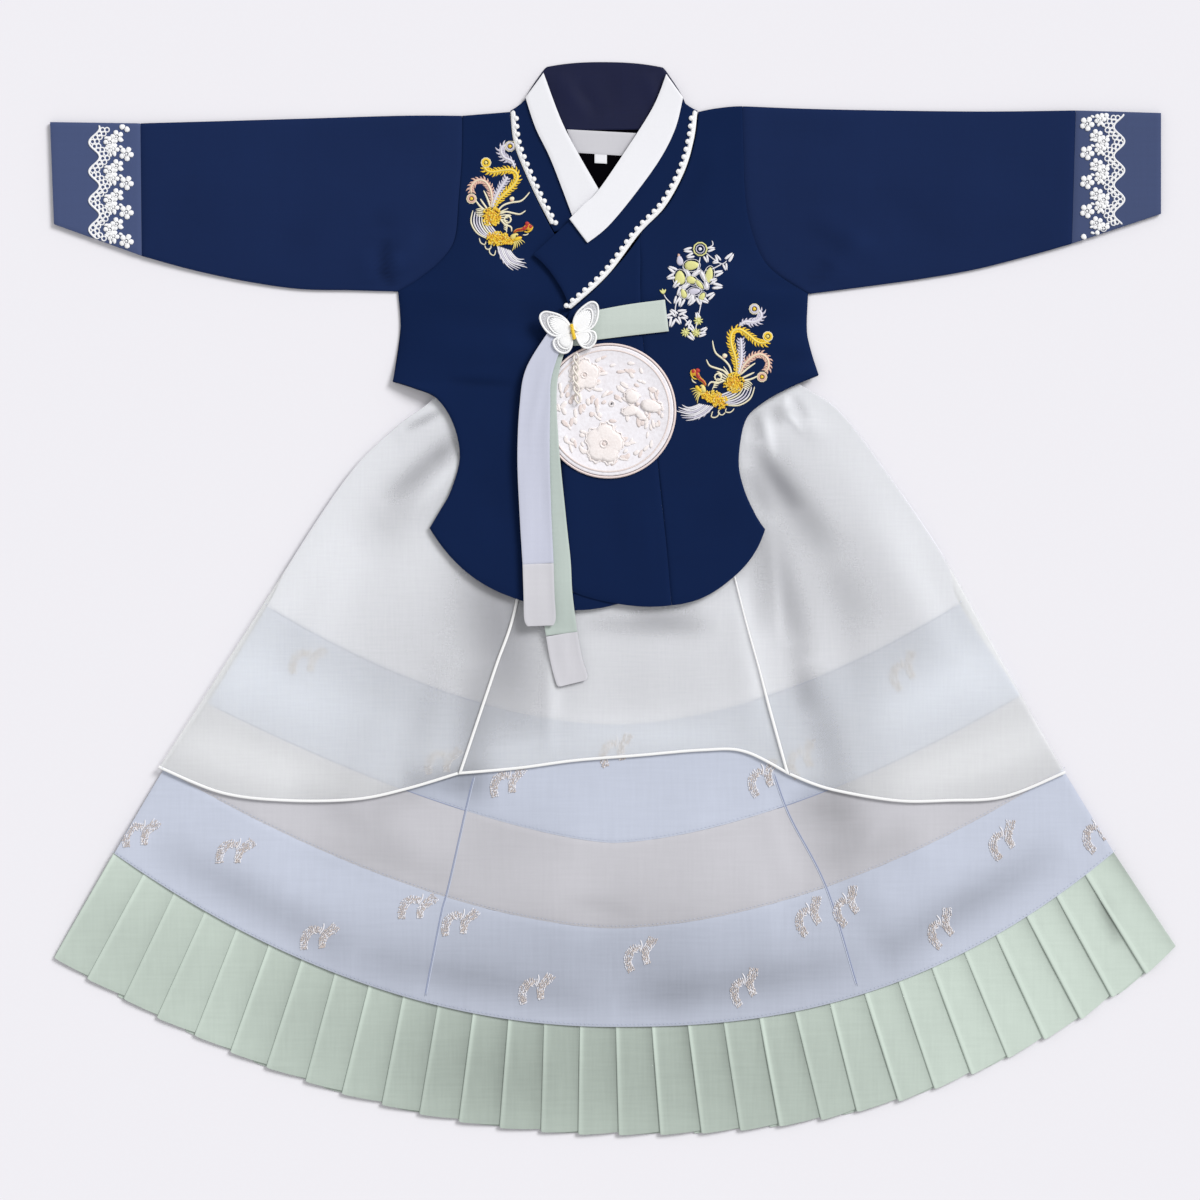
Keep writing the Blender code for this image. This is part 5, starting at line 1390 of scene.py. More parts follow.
def embroider_phoenix(work, place, dice):
    """One phoenix in all its threads."""
    gold, amber, pale, pink, silver, white, cream, red = [work[thread] for thread in THREADS]

    def sew(thread_work, points, widths, rise):
        thread_work.stroke(chart(place, points), widths, rise)

    def pad(thread_work, spot, *size_and_turn):
        thread_work.petal(*chart(place, spot)[0], *size_and_turn)

    def drop(thread_work, spot, *size):
        thread_work.bead(*chart(place, spot)[0], *size)

    feather(silver, white, place, SILVER_FEATHER, 3.2, 3.0)
    feather(silver, white, place, SILVER_UPPER, 3.8, 3.4)
    feather(pink, cream, place, PINK_FEATHER, 3.2, 3.0)
    feather(gold, pale, place, GOLD_FEATHER, 3.4, 3.0)
    for work_of, heart, spot, size in ((gold, pale, (-4.4, 41.6), 3.4), (pink, gold, (-15.6, 13.6), 3.4),
                                       (silver, gold, (14.2, 54.2), 3.6)):
        x, y = chart(place, spot)[0]
        work_of.ring(x, y, size * 0.8, 1.9, 0.9)
        cream.ring(x, y, size * 1.12, 0.8, 0.8)
        heart.bead(x, y, size * 0.42)
    for k in range(5):
        spray = [(5.4, 2.6 - 1.2 * k), (9.4, 4.6 - 1.9 * k), (13.2, 6.4 - 2.6 * k)]
        sew(cream, spray, (0.9, 1.2, 0.6), 0.6)
        curl = [(-5.6, 4.6 - 1.2 * k), (-9.4, 5.8 - 1.4 * k), (-12.8, 5.0 - 1.2 * k)]
        sew(cream, curl, (0.8, 1.1, 0.6), 0.6)
    for points in TENDRILS:
        sew(cream, points, (1.5, 1.6, 1.5, 0.9), 0.7)
    pad(cream, (15.8, 13.4), 4.2, 4.0, place.turn + 40, 1.3)
    pad(pink, (15.6, 12.2), 2.4, 1.6, 30, 1.8)
    cream.ring(*chart(place, (12.4, -2.6))[0], 2.6, 1.4, 0.8)
    for k in range(8):
        sweep = [(-14.4 + 1.7 * k, 5.0 - 1.2 * k), (-16 + 2.25 * k, -4.4 - 0.5 * k),
                 (-11.4 + 2.3 * k, -12.9 - 0.1 * k), (-3.6 + 1.9 * k, -17.4 + 0.4 * k)]
        sew((cream, white, silver)[SWEEP_ORDER[k]], sweep, (0.8, 1.4, 1.3, 0.9), 0.8)
    for k, tip in enumerate(TAIL_TIPS):
        fan = [(4.4 + 1.35 * k, -22.4 - 0.5 * k), (7 + 1.3 * k, -31 + 0.2 * k),
               (12 + 1.2 * k, -38.2 + 0.7 * k), tip]
        sew(silver if k in (1, 4) else white, fan, (1.3, 1.4, 1.2, 0.6), 0.8)
    for x, y, reach in ((6.8, -30.6, 3.4), (9.0, -33.8, 3.6), (12.2, -36.4, 3.4), (5.4, -27.0, 2.6)):
        sew(silver, [(x + 1, y + 1.6), (x, y), (x + 0.2, y - reach)], (1.2, 1.3, 0.5), 0.7)
    for loop in ([(-9.6, -16.4), (-8.6, -20.4), (-5.2, -22), (-4.4, -19)],
                 [(-5.4, -22), (-4.2, -25.4), (-0.8, -25.2), (-0.6, -22)],
                 [(-1.8, -24), (-1.4, -28.6), (2.0, -30.4), (3.2, -26)]):
        sew(cream, loop, (0.8, 1.1, 0.8), 0.7)
    for k in range(5):
        flick = [(8.8, -3.4 - 1.5 * k), (11.6, -5.2 - 1.5 * k), (12.6 - 0.4 * k, -8.4 - 1.3 * k)]
        sew(cream, flick, (0.7, 0.9, 0.6), 0.6)
    for x, y, length, width in ((0, -0.5, 12.4, 11.0), (4.4, -17.6, 14.0, 9.0), (12.6, -19.0, 10.5, 6.0)):
        pad(amber, (x, y), length, width, place.turn, 1.0, 12)
    seeds = (gold, gold, gold, amber, gold, pale, gold)
    knots(seeds, place, (0, -0.5), 6.9, 7.2, 150, dice)
    knots(seeds, place, (4.6, -17.4), 8.2, 5.4, 140, dice)
    knots(seeds, place, (13.4, -18.8), 4.4, 3.2, 40, dice)
    pad(pale, (17.6, -15.6), 7.4, 4.4, place.turn + 30 * place.mirror, 2.2, 10)
    pad(gold, (20.4, -17.4), 7.2, 3.2, place.turn + 18 * place.mirror, 2.4)
    for k in range(6):
        reach = [BEARD_ROOT, (17.4 + 1.1 * k, -23 + 0.9 * k), (15.6 + 2.1 * k, -27.6 + 1.3 * k)]
        sew(pale, reach, (0.9, 1.0, 0.5), 1.0)
    sew(amber, COMB, (2.2, 2.8, 3.4, 4.8), 1.1)
    drop(amber, (29.2, -8.6), 3.0, 1.6)
    sew(red, COMB, (1.2, 1.8, 2.2, 3.2), 1.6)
    for spot, size in (((27.6, -6.0), 2.0), ((30, -8.2), 1.9), ((25.2, -9.6), 1.6), ((22, -16.8), 1.5)):
        drop(red, spot, size, 1.9)
    sew(gold, [(24.6, -11.6), (27.8, -12.4), (31, -10.4), (32, -7.4)], (1.0, 1.3, 0.8), 1.2)
    sew(cream, [(23.6, -14.4), (26.6, -14.6), (29, -13)], (1.0, 1.2, 0.6), 1.1)
    drop(work["dot"], (19.6, -15.4), 0.8, 3.6)


front_ground = ground_of("jacket_right_front", "jacket_left_front", "jacket_overlap_panel")
threads = {name: Needlework(front_ground) for name in THREADS + ("dot",)}
stitch_dice = random.Random(11)
for phoenix_place in PHOENIX_PLACES:
    embroider_phoenix(threads, phoenix_place, stitch_dice)

# %% [markdown]
# ## Flower spray
# Between the phoenixes a spray of flowers hangs on the left front: one round rosette, a large open
# bloom in pale yellow, and many small silver leaves outlined in cream on thin stems.

# %% The spray
# Each leaf: x, y, angle, length.
LEAVES = (
    (57.6, 270.6, 185, 7.5), (59.4, 266.0, 200, 7.0), (75.6, 271.4, 10, 7.0), (72.0, 263.6, -70, 6.5),
    (80.6, 264.4, 120, 6.5), (79.0, 261.4, 200, 5.5), (90.0, 265.0, 50, 9.0), (86.6, 257.4, -75, 6.5),
    (81.4, 252.6, 20, 8.0), (45.6, 255.6, 150, 8.0), (44.4, 249.6, 200, 7.5), (48.4, 243.6, 230, 7.0),
    (80.4, 242.4, -5, 9.0), (77.2, 246.6, 25, 7.0), (75.2, 235.0, 35, 8.0), (70.8, 231.2, -30, 7.0),
    (66.4, 231.0, -70, 7.5), (60.0, 230.4, 230, 8.0), (51.4, 238.0, 240, 8.0), (48.6, 231.4, 245, 7.0),
    (52.4, 229.6, 250, 8.0), (58.6, 234.6, 225, 6.5),
    (46.4, 222.0, 140, 7.5), (42.6, 219.0, 190, 7.0), (45.0, 214.0, 250, 8.0), (50.4, 215.6, -60, 7.0),
    (53.2, 222.4, 15, 8.0), (55.2, 218.6, -20, 6.0), (58.2, 213.4, 60, 7.0), (60.6, 209.8, -50, 6.5),
    (60.0, 203.2, -45, 7.5), (68.6, 205.2, 10, 7.0), (65.0, 219.4, 110, 6.5), (70.0, 208.6, 35, 6.5),
)
STEMS = (
    [(67.2, 265.6), (66.0, 259), (64.2, 252)],
    [(71.4, 268.6), (77.4, 263.6), (84.0, 259.8), (88, 262.6)],
    [(84.0, 259.8), (76.4, 255.8), (70.4, 254.6)],
    [(73.2, 272.6), (77.0, 274.6), (76.2, 278.4)],
    [(58, 243.6), (53.4, 237.6), (48.6, 229), (47.8, 222), (49.2, 218.2)],
    [(49.2, 218.2), (55.0, 216.8), (58.0, 211.8), (56.8, 207.4)],
    [(66.0, 236.4), (67.4, 229), (66.4, 222.6), (65.0, 216.0)],
    [(65.0, 216.0), (63.8, 211), (63.6, 207)],
    [(45.0, 228.6), (41.0, 232.6), (38.8, 236.4)],
    [(53.2, 258.2), (56.4, 252.6), (60.6, 248.4)],
)
# Each petal: x, y, length, width, angle, thread.
BLOOM_PETALS = (
    (60.6, 258.6, 13.0, 9.0, 5, "yellow"), (51.4, 248.9, 13.0, 10.0, 92, "yellow"),
    (74.0, 250.9, 14.5, 7.4, 80, "yellow"), (60.4, 247.0, 9.6, 7.0, -20, "yellow"),
    (66.6, 243.6, 10.0, 4.2, -50, "yellow"), (69.4, 250.2, 10.0, 3.2, -64, "white"),
    (64.2, 252.8, 8.6, 3.0, 38, "white"), (62.6, 238.3, 11.0, 6.4, 8, "silver"),
    (54.2, 236.6, 8.4, 5.4, 110, "yellow"), (68.6, 234.4, 7.4, 5.2, 60, "yellow"),
    (55.6, 242.4, 7.5, 3.0, 30, "white"), (72.0, 243.0, 7.0, 3.4, 100, "white"),
    (57.6, 252.4, 6.5, 2.6, 120, "white"), (61.0, 233.0, 6.4, 3.6, 80, "white"),
)

ROSETTE = (67.2, 271.4)
SEED_HEADS = ((65.6, 215.6), (55.6, 206.6), (63.8, 206.4))
SIDE_BUD = (38.6, 236.6)


def split_leaf(work, x, y, angle, length):
    """A leaf of two satin halves with the cloth showing in a slit between them."""
    for hand in (-1, 1):
        work.petal(*turned(x, y, length * 0.14, angle + 90 * hand), length, length * 0.27,
                   angle - 9 * hand, 0.9)


threads["yellow"] = Needlework(front_ground)
for x, y, angle, length in LEAVES:
    split_leaf(threads["white"], x, y, angle, length)
for points in STEMS:
    threads["white"].stroke(points, (0.9, 1.0, 0.8), 0.8)
for x, y, length, width, angle, thread_name in BLOOM_PETALS:
    threads[thread_name].petal(x, y, length * 0.92, width * 0.84, angle, 1.5, 12)
    outline = oval(x, y, length * 0.52, width * 0.54, angle, 13)
    threads["white"].stroke(outline, (0.6, 0.6), 1.0, closed=True)
for radius, width, thread_name in ((5.2, 1.3, "yellow"), (3.3, 0.9, "silver")):
    threads[thread_name].ring(*ROSETTE, radius, width, 0.9)
threads["white"].bead(*ROSETTE, 1.5)
for x, y in SEED_HEADS:
    for k in range(9):
        angle = 40 * k + 7 * x
        threads["yellow"].petal(*turned(x, y, 2.2, angle), 3.6, 1.3, angle, 1.1, 6)
    threads["yellow"].bead(x, y, 1.3)
threads["silver"].petal(51.4, 262.4, 8.5, 5.4, 100, 1.2, 10)
threads["pink"].petal(50.6, 266.4, 3.0, 2.2, 100, 1.5)
for angle in (60, 100, 135):
    threads["yellow"].petal(*turned(*SIDE_BUD, 1.8, angle), 4.6, 1.8, angle, 1.1)

# %% The threads as pieces
THREAD_FINISH = {
    "gold": ("thread_gold", "gold_thread"), "amber": ("thread_amber", "gold_thread"),
    "white": ("thread_white", "sheer_white"), "pale": ("thread_pale_gold", "gold_thread"),
    "pink": ("thread_pink", "rose_rim"), "silver": ("thread_silver", "sheer_white"),
    "cream": ("thread_cream", "cream_cord"), "red": ("thread_red", "gold_thread"),
    "yellow": ("thread_yellow", "gold_thread"), "dot": ("dark_dot", "navy_cloth"),
}
for name, work in threads.items():
    finish, slot = THREAD_FINISH[name]
    work.finish(f"embroidery_{name}", finish, slot)

# %% [markdown]
# ## Collar piping
# Along the collar's outer edge runs a narrow lace braid with small round bobbles on its neck side.
# It is a flat plaited strip, so it is made as three crossing strands and a row of beads.

# %% Collar piping
PIPING_EDGE = 1.8          # from the collar's outer edge to the braid's middle
BOBBLE_EDGE = 4.0
BOBBLE_STEP = 6.3


def braid(work, edge, side):
    """The braid and its bobbles along an edge."""
    length = steps_of(edge).sum()
    fine = even(edge, round(length / 1.1))
    middle = beside(fine, PIPING_EDGE, side)
    work.stroke(middle, (4.0, 4.0), 0.6, 1.1)
    phase = np.linspace(0, length / 4.6 * 2 * math.pi, len(fine))
    for shift in (0, 2 * math.pi / 3, 4 * math.pi / 3):
        wavy = beside(middle, 0.85, side * np.sin(phase + shift)[:, None])
        work.stroke(wavy, (1.15, 1.15), 1.0, 0.8)
    for x, y in beside(even(edge, round(length / BOBBLE_STEP)), BOBBLE_EDGE, side)[1:]:
        work.bead(x, y, 1.75, 1.8)
        work.ring(x, y, 1.7, 0.75, 1.1)


for side_name, collar, side in (("right", git_right[:, -1, :2], 1), ("left", git_left[:, -1, :2], -1)):
    edge = collar[:-4] if side_name == "right" else collar
    lace = Needlework(ground_of(f"collar_{side_name}_band"))
    braid(lace, edge, side)
    lace.finish(f"piping_{side_name}", "lace_white", "white_lace", [f"collar_lace_{side_name}"],
                pieces_made[f"collar_{side_name}_band"])

# %% [markdown]
# ## Cuff lace
# Each cuff carries a band of white guipure lace, which has no net: its flowers and rings are
# thick thread joined where they touch.  One repeat is a double row of rings along a zigzag cord, two
# flowers that touch, a pair of buds and one flower that stands off towards the sleeve.

# %% Cuff lace
LACE_REPEAT = 22.5
LACE_LEVEL = 3.55          # the top of the front cuff
WAVE_DEEP = 8.2
LACE_TIPS = {"right": (-405.8, 354.2, 1), "left": (395.6, 355.0, -1)}
# Each flower: across, down, size.  Each bud: across, down, angle.
FLOWERS = ((16.1, -0.2, 5.4), (21.6, 4.4, 5.6), (18.8, -5.2, 5.2), (28.9, -8.9, 6.2))
BUDS = ((16.6, -9.6, 100), (20.0, -9.4, 70), (18.8, -4.4, 90), (13.4, -4.6, 150), (13.2, 3.6, 200),
        (25.2, 1.4, 20), (24.6, -3.4, -20))


def cuff_edge(side_name, x):
    """The Y range of a cuff at an X."""
    cut = RIGHT_SLEEVE if side_name == "right" else LEFT_SLEEVE
    share = (x - cut.top[-1][0]) / (cut.cuff_top[0] - cut.top[-1][0])
    high = mix(cut.top[-1][1], cut.cuff_top[1], share)
    low = mix(cut.bottom[-1][1], cut.cuff_bottom[1], share)
    return low + 0.6, high - 0.6


def lace_band(side_name):
    """One band of lace, flat on its cuff."""
    tip_x, tip_y, inward = LACE_TIPS[side_name]
    work = Needlework(None, level=LACE_LEVEL)

    def inside(x, y, margin=1.2):
        low, high = cuff_edge(side_name, x)
        return low + margin < y < high - margin

    def zigzag(offset):
        y = np.arange(tip_y - 4.6 * LACE_REPEAT, tip_y + 1.4 * LACE_REPEAT, 1.0)
        phase = np.abs(((tip_y - y) / LACE_REPEAT + 0.5) % 1.0 - 0.5) * 2
        x = tip_x + inward * (offset + WAVE_DEEP * (1 - np.cos(math.pi * phase)) / 2)
        return np.array([place for place in zip(x, y) if inside(*place, 0.4)])

    work.stroke(zigzag(0.0), (1.6, 1.6), 1.1, 1.0)
    for offset in (2.6, 6.0):
        for x, y in even(zigzag(offset), round(1.24 * len(zigzag(offset)) / 4.0)):
            if inside(x, y, 1.6):
                work.ring(x, y, 1.8, 1.15, 0.9)
    for repeat in range(-5, 3):
        for across, down, size in FLOWERS:
            x, y = tip_x + inward * across, tip_y + repeat * LACE_REPEAT + down
            for k in range(5):
                angle = 72 * k + 90 + 14 * across
                petal_x, petal_y = turned(x, y, 0.56 * size, angle)
                if inside(petal_x, petal_y, 1.6):
                    work.petal(petal_x, petal_y, size * 0.80, size * 0.71, angle + 180, 1.3)
            if inside(x, y, 2.0):
                work.bead(x, y, 1.0, 1.6)
                work.ring(x, y, 2.1, 0.9, 1.5)
        for across, down, angle in BUDS:
            x, y = tip_x + inward * across, tip_y + repeat * LACE_REPEAT + down
            if inside(x, y, 1.8):
                work.petal(x, y, 3.6, 2.2, angle, 1.2)
    return work


for side_name in ("right", "left"):
    front_cuff = pieces_made[f"cuff_{side_name}_front_cloth"]
    lace_band(side_name).finish(f"lace_{side_name}_front", "lace_white", "white_lace",
                                [f"cuff_lace_{side_name}_front"], front_cuff)
    under = lace_band(side_name)
    under.turn_over(CUFF_BACK_Z + LACE_LEVEL - 0.05)
    under.finish(f"lace_{side_name}_back", "lace_white", "white_lace", [f"cuff_lace_{side_name}_back"],
                 pieces_made[f"cuff_{side_name}_back_cloth"])

# %% [markdown]
# ## Sprigs and seams of the skirt
# The blue bands carry a small scattered sprig: two drooping ears and a stem in silver and beige
# thread.  Each sprig turns with the band, because the cloth was cut as a ring.  Rows of small stitches
# hold the bands together, and short seams join the gores of each band.

# %% Sprigs
SPRIGS = ((-364, -181), (-291, -195), (-226, -261), (-150, -238), (-117, -250), (-58, -301), (23, -274),
          (104, -299), (154, -244), (183, -236), (256, -253), (304, -185), (376, -179), (-80, -141),
          (4, -116), (118, -137), (-235, -47), (227, -54), (148, -122), (-130, -125))
# Each ear: its line and its width at the root, in the middle and at the tip.
EARS = (
    ([(-0.5, 5.6), (-5.2, 6.8), (-9.3, 4.4), (-12.4, 0.4), (-13.4, -4), (-13.2, -8.6)], (4.0, 6.8, 5.4)),
    ([(11.6, 8.6), (9.4, 6.2), (5.8, 4.0), (2.4, 0.8), (0.9, -3.6), (0.6, -7.6)], (7.4, 6.0, 5.0)),
)
SPRIG_LINES = ([(-2.0, 1.6), (1.6, 6.4), (2.2, 11.4)], [(-6.2, 4.2), (-3.0, 2.6)])
EAR_LANES = (-0.42, -0.21, 0.0, 0.21, 0.42)
EAR_STEPS = 16
skirt_ground = ground_of(*[f"skirt_{band}_front_cloth" for band, *_ in BANDS])
white_beads = Needlework(skirt_ground)
beige_beads = Needlework(skirt_ground)
sprig_dice = random.Random(23)
for sprig_x, sprig_y in SPRIGS:
    lean = np.interp(sprig_x, (-380, -150, 180, 380), (0, 0, 42, 42)) + sprig_dice.uniform(-4, 4)
    where = Place(sprig_x, sprig_y, 1, lean, 1.0)
    for points, wide in EARS:
        middle = even(chart(where, smooth(points, 10)), EAR_STEPS)
        spread = np.interp(np.linspace(0, 1, EAR_STEPS + 1), (0, 0.5, 1), wide)[:, None]
        for lane in EAR_LANES:
            for x, y in beside(middle, lane * spread, 1):
                bead_x, bead_y = x + sprig_dice.uniform(-0.3, 0.3), y + sprig_dice.uniform(-0.3, 0.3)
                is_white = sprig_dice.random() < (0.55 if abs(lane) > 0.3 else 0.34)
                work = white_beads if is_white else beige_beads
                if work.under(bead_x, bead_y) is not None:
                    work.petal(bead_x, bead_y, 2.4, 1.0, lean + sprig_dice.uniform(20, 90), 0.8, 5)
    for points in SPRIG_LINES:
        white_beads.stroke(chart(where, points), (0.9, 1.3, 1.0), 0.7)
white_beads.finish("sprigs_white", "thread_white", "white_lace")
beige_beads.finish("sprigs_beige", "thread_beige", "cream_cord")

# %% Seams
# Each gore seam: its line, and the side of its lit edge, where a painted highlight lies.
GORE_SEAMS = (
    ([(-108, -136), (-114, -160), (-128, -222), (-133.5, -243), (-146, -307)], 1),
    ([(124.5, -134), (137, -167.5), (165, -222), (189, -299)], -1),
)
BAND_SEAMS = (("grey", -0.45, 0.5), ("lower_blue", -1.0, 1.0), ("flounce", -1.0, 1.0),
              ("upper_blue", -1.0, 1.0))


def stitch_row(work, line, pitch, long, wide):
    """A row of short stitches along a line."""
    places = even(line[:, :2], round(steps_of(line).sum() / pitch))
    ahead = np.gradient(places, axis=0)
    for (x, y), run in zip(places, ahead):
        work.petal(x, y, long, wide, math.degrees(math.atan2(run[1], run[0])), 0.45, 5)


# Light stitches join the bands; a light stroke beside each gore seam is a painted highlight.
stitches_and_highlights = Needlework(skirt_ground)
dark_seams_and_shadows = Needlework(skirt_ground)
for place, first, last in BAND_SEAMS:
    line = skirt_line(place, np.linspace(first, last, 90), True)
    stitch_row(stitches_and_highlights, line + (0, 1.6, 0), 3.2, 1.9, 0.5)
# Dark lines along the upper blue and grey seams, under the organza, are painted seam shadows.
for place in ("upper_blue", "grey"):
    for first, last in ((-0.99, -0.36), (0.4, 0.99)):
        line = skirt_line(place, np.linspace(first, last, 60), True)
        dark_seams_and_shadows.stroke(line[:, :2], (0.7, 0.7), 0.2, 3.0)
# Each gore seam: a dark seam line, and a painted highlight on its lit side.
for points, side in GORE_SEAMS:
    line = smooth(points, 20)
    dark_seams_and_shadows.stroke(line, (0.9, 0.9), 0.25, 3.0)
    stitches_and_highlights.stroke(line + (1.1 * side, 0), (0.8, 0.8), 0.35, 3.0)
stitches_and_highlights.finish("skirt_stitches_and_highlights", "thread_stitch_and_highlight", "blue_cloth")
dark_seams_and_shadows.finish("skirt_seams_and_shadows", "thread_dark_seam_and_shadow", "blue_cloth")

# %% [markdown]
# ## Medallion
# The round ornament is a padded disc covered with pale lace in relief.  Two raised flowers, four broad
# petals and many low leaves stand on it, inside a double ring.  The disc is spun from a profile, and
# the relief is laid on it as strokes and petals of two tones.

# %% Medallion disc
MEDALLION_CENTRE = (-3.7, 146.0)
DISC_PROFILE = [(0, 13.55), (16, 13.55), (32, 13.5), (45.4, 13.45), (46.2, 13.7), (47.2, 13.75),
                (48.0, 13.45), (48.6, 13.6), (49.6, 13.6), (50.2, 13.2), (50.2, 12.62), (0, 12.62)]
disc = bmesh.new()
profile = [disc.verts.new(mm(radius, 0, z)) for radius, z in DISC_PROFILE]
for first, second in zip(profile, profile[1:]):
    disc.edges.new((first, second))
bmesh.ops.spin(disc, geom=disc.verts[:] + disc.edges[:], cent=(0, 0, 0), axis=(0, 0, 1),
               angle=2 * math.pi, steps=96, use_merge=True)
bmesh.ops.remove_doubles(disc, verts=disc.verts, dist=0.01 * MM)
bmesh.ops.recalc_face_normals(disc, faces=disc.faces)
bmesh.ops.translate(disc, verts=disc.verts, vec=mm(*MEDALLION_CENTRE, 0))
medallion = shown("medallion_disc", mesh_of("medallion_disc", disc))
medallion.data.materials.append(FINISHES["relief_ground"])
join_frame(medallion, ["medallion"])

# %% Medallion relief
# Each bloom: x, y, reach, petals, first angle, rise.  Each broad petal: x, y, length, width, angle, rise.
BLOOMS = ((-18.6, 27.6, 12.2, 5, 20, 0.9), (-3.4, -25.4, 15.6, 5, 10, 1.1))
relief_ground = ground_of("medallion_disc")
ivory = Needlework(relief_ground)
blush = Needlework(relief_ground)
relief_dice = random.Random(5)
STUD = (2.5, 5.4)
BROAD_PETALS = ((17.9, 11.5, 13, 11, 120, 1.7), (16.6, -0.1, 14, 8, 195, 1.7), (33.0, 3.6, 18, 10, -12, 1.7),
               (25, -3.6, 12, 6, -40, 1.4))
LOW_LEAVES = 150
LEAF_REACH = 44.5
INNER_RING = 46.9
OUTER_RING = 51.4


def on_disc(x, y):
    return MEDALLION_CENTRE[0] + x, MEDALLION_CENTRE[1] + y


def ruffled_petal(work, x, y, length, width, angle, rise):
    """A broad petal with a ruffled lip."""
    work.petal(*on_disc(x, y), length, width, angle, rise, 12)
    turn = np.radians(np.linspace(-75, 75, 9) + angle)
    far = length * 0.46 * (1 + 0.1 * np.cos(np.arange(9) * math.pi))
    lip = np.stack([MEDALLION_CENTRE[0] + x + far * np.cos(turn),
                    MEDALLION_CENTRE[1] + y + width / length * far * np.sin(turn)], axis=1)
    work.stroke(lip, (1.2, 1.5, 1.2), rise * 0.8)


for x, y, reach, count, start, rise in BLOOMS:
    for k in range(count):
        angle = start + 360 / count * k
        ruffled_petal(ivory, *turned(x, y, reach * 0.52, angle), reach * 0.96, reach * 1.2, angle, rise)
    ivory.ring(*on_disc(x, y), reach * 0.2, 1.2, rise + 0.4)
    blush.bead(*on_disc(x, y), reach * 0.1, rise + 0.5)
for petal in BROAD_PETALS:
    ruffled_petal(ivory, *petal)
blush.bead(*on_disc(22.5, 5.0), 1.7, 2.4)
for _ in range(LOW_LEAVES):
    angle = relief_dice.uniform(0, 360)
    x, y = turned(0, 0, LEAF_REACH * math.sqrt(relief_dice.uniform(0.02, 1)), angle)
    lean = angle + relief_dice.choice((60, 90, -70, 120))
    work = ivory if relief_dice.random() < 0.6 else blush
    work.petal(*on_disc(x * 0.94, y * 0.94), relief_dice.uniform(4, 9), relief_dice.uniform(2.0, 4.0), lean,
               0.6)
ivory.ring(*on_disc(*STUD), 2.0, 1.0, 0.8)
blush.stroke(oval(*MEDALLION_CENTRE, INNER_RING, INNER_RING, 0, 60), (1.2, 1.2), 0.4, 2.4, True)
ivory.finish("medallion_relief", "relief_ivory", "ivory_relief")
blush.finish("medallion_blush", "relief_blush", "rose_rim")
rim = Needlework(None, level=12.7)
rim.stroke(oval(*MEDALLION_CENTRE, OUTER_RING, OUTER_RING, 0, 60), (1.9, 1.9), 1.3, 2.0, True)
rim.finish("medallion_edge", "rim_rose", "rose_rim", ["medallion_rim"])
heart = Needlework(relief_ground)
heart.bead(*on_disc(*STUD), 0.8, 1.6)
heart.finish("medallion_stud", "dark_dot", "navy_cloth")

# %% [markdown]
# ## Butterfly and tassel
# A machine-made lace butterfly covers the knot.  Each wing is a sheer panel inside nested satin rims,
# with a fan of veins, and its body is gold thread.  From it hangs a loose chain of two cream strands.

# %% Butterfly
BUTTERFLY_PLACE = Place(-31, 206, 1, 12.0, 1.0)
BUTTERFLY_Z = 17.7
WING_HALF = [(1.0, 5.0), (5.0, 12.0), (12.0, 18.0), (19.0, 20.0), (22.5, 17.0), (21.5, 9.0), (17.0, 2.0),
             (11.0, -0.6), (16.8, -2.4), (16.4, -8.0), (11.5, -13.6), (6.0, -13.0), (1.6, -6.0)]
UPPER_WING = [(1.2, 3.0), (2.4, 9.0), (6.4, 14.4), (12.0, 18.0), (18.2, 20.2), (22.2, 18.0), (22.4, 12.4),
              (20.0, 6.0), (16.0, 1.4), (10.0, -0.6), (4.0, 0.2), (1.2, 3.0)]
LOWER_WING = [(1.4, -1.2), (6.0, -1.0), (11.4, -1.2), (15.6, -2.6), (16.6, -6.6), (14.6, -11.0),
              (10.6, -13.8), (6.4, -13.2), (3.0, -9.0), (1.4, -1.2)]
outline = WING_HALF + [(-x, y) for x, y in reversed(WING_HALF)]
shape = chart(BUTTERFLY_PLACE, spans(outline + outline[:1], 4)[:-1])
wing_mesh = bmesh.new()
bmesh.ops.create_circle(wing_mesh, cap_ends=True, segments=len(shape), radius=1.0)
for vert, (x, y) in zip(wing_mesh.verts, shape):
    vert.co = mm(x, y, BUTTERFLY_Z)
bmesh.ops.recalc_face_normals(wing_mesh, faces=wing_mesh.faces)
if sum(face.normal.z for face in wing_mesh.faces) < 0:
    bmesh.ops.reverse_faces(wing_mesh, faces=wing_mesh.faces)
bmesh.ops.triangulate(wing_mesh, faces=wing_mesh.faces)
wings = shown("butterfly_panel", mesh_of("butterfly_panel", wing_mesh, False))
wings.data.materials.append(FINISHES["butterfly_sheer"])
solid_wall(wings, 0.35)
join_frame(wings, ["butterfly_wings"])

# %% Butterfly rims and veins
def on_wing(root, place, share, hand):
    """The place at a share of the way from a wing's root to its outline."""
    return (root[0] + (place[0] - root[0]) * share) * hand, root[1] + (place[1] - root[1]) * share


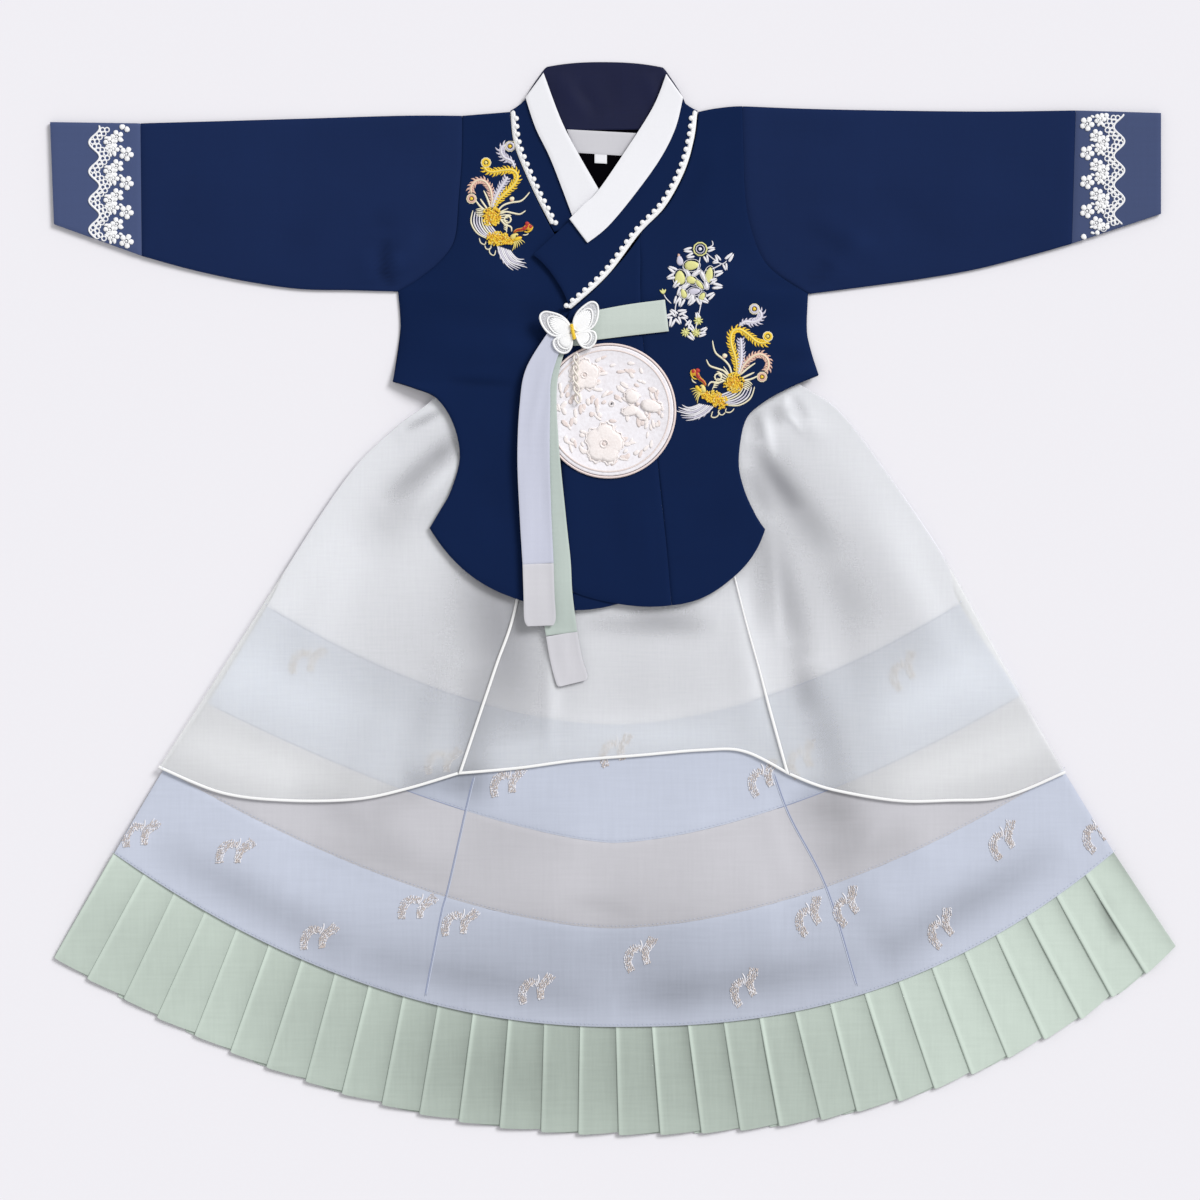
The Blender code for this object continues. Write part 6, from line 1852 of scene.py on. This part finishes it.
satin = Needlework(None, level=BUTTERFLY_Z + 0.3)
for hand in (-1, 1):
    for wing, root in ((UPPER_WING, (1.5, 2.0)), (LOWER_WING, (1.8, -2.0))):
        for scale, width in ((1.0, 1.7), (0.76, 1.5)):
            rim_line = [on_wing(root, place, scale, hand) for place in wing]
            satin.stroke(chart(BUTTERFLY_PLACE, rim_line), (width, width), 1.0 + 0.3 * (1 - scale), 1.2, True)
        for place in smooth(wing, 26)[2:-2]:
            vein = [on_wing(root, place, reach, hand) for reach in (0, 0.38, 0.72)]
            satin.stroke(chart(BUTTERFLY_PLACE, vein), (1.2, 2.0, 1.6), 0.8)
        for place in smooth(wing, 22)[:-1]:
            satin.petal(*chart(BUTTERFLY_PLACE, on_wing(root, place, 0.88, hand))[0], 0.9, 0.9, 0, 0.7, 5)
satin.finish("butterfly_rims", "satin_white", "sheer_white")
body = Needlework(None, level=BUTTERFLY_Z + 1.2)
for k in range(9):
    y = 5.8 - 1.3 * k
    body.petal(*chart(BUTTERFLY_PLACE, (0, y))[0], 3.2, 1.9, 12 + 8 * (-1) ** k, 2.6, 8)
body.petal(*chart(BUTTERFLY_PLACE, (0, 0.6))[0], 13.0, 2.4, 102, 2.4, 10)
body.finish("butterfly_stitched_body", "thread_gold", "gold_thread", ["butterfly_body"])

# %% Tassel
TASSEL_LINE = [(-28.6, 190.4), (-28.9, 180), (-29.0, 170), (-28.2, 160), (-27, 151.4)]
STRAND_RADIUS = 0.75
SWING = 1.9
HALF_WEAVES = 5
TASSEL_Z = 16.0
tassel_line = smooth(TASSEL_LINE, 48)


def strand(name, phase):
    """One strand of the chain, as a curve that weaves from side to side."""
    share = np.linspace(0, 1, len(tassel_line))
    turn = share * math.pi * HALF_WEAVES + phase
    points = beside(tassel_line, 1.0, SWING * np.sin(turn)[:, None])
    heights = TASSEL_Z + 0.9 * np.cos(turn) + 0.4 * share
    curve = bpy.data.curves.new(name, "CURVE")
    curve.dimensions = "3D"
    curve.bevel_depth = STRAND_RADIUS * MM
    curve.bevel_resolution = 2
    curve.use_fill_caps = True
    spline = curve.splines.new("POLY")
    spline.points.add(len(points) - 1)
    places = [(x * MM, y * MM, z * MM) for (x, y), z in zip(points, heights)]
    for point, place in zip(spline.points, places):
        point.co = (*place, 1)
    made = shown(name, curve)
    curve.materials.append(FINISHES["tassel_cream"])
    length = sum((Vector(b) - Vector(a)).length for a, b in zip(places, places[1:]))
    print(f"{name}: {length * 1000:.1f} mm long")
    return made, places[0], length


for name, phase, nodes in (("tassel_strand_a", 0.0, ["tassel_cord"]), ("tassel_strand_b", math.pi, [])):
    made, start, length = strand(name, phase)
    join_frame(made, nodes)

# %% [markdown]
# ## The pieces made

# %% Finish
print(len(pieces_made), "pieces")
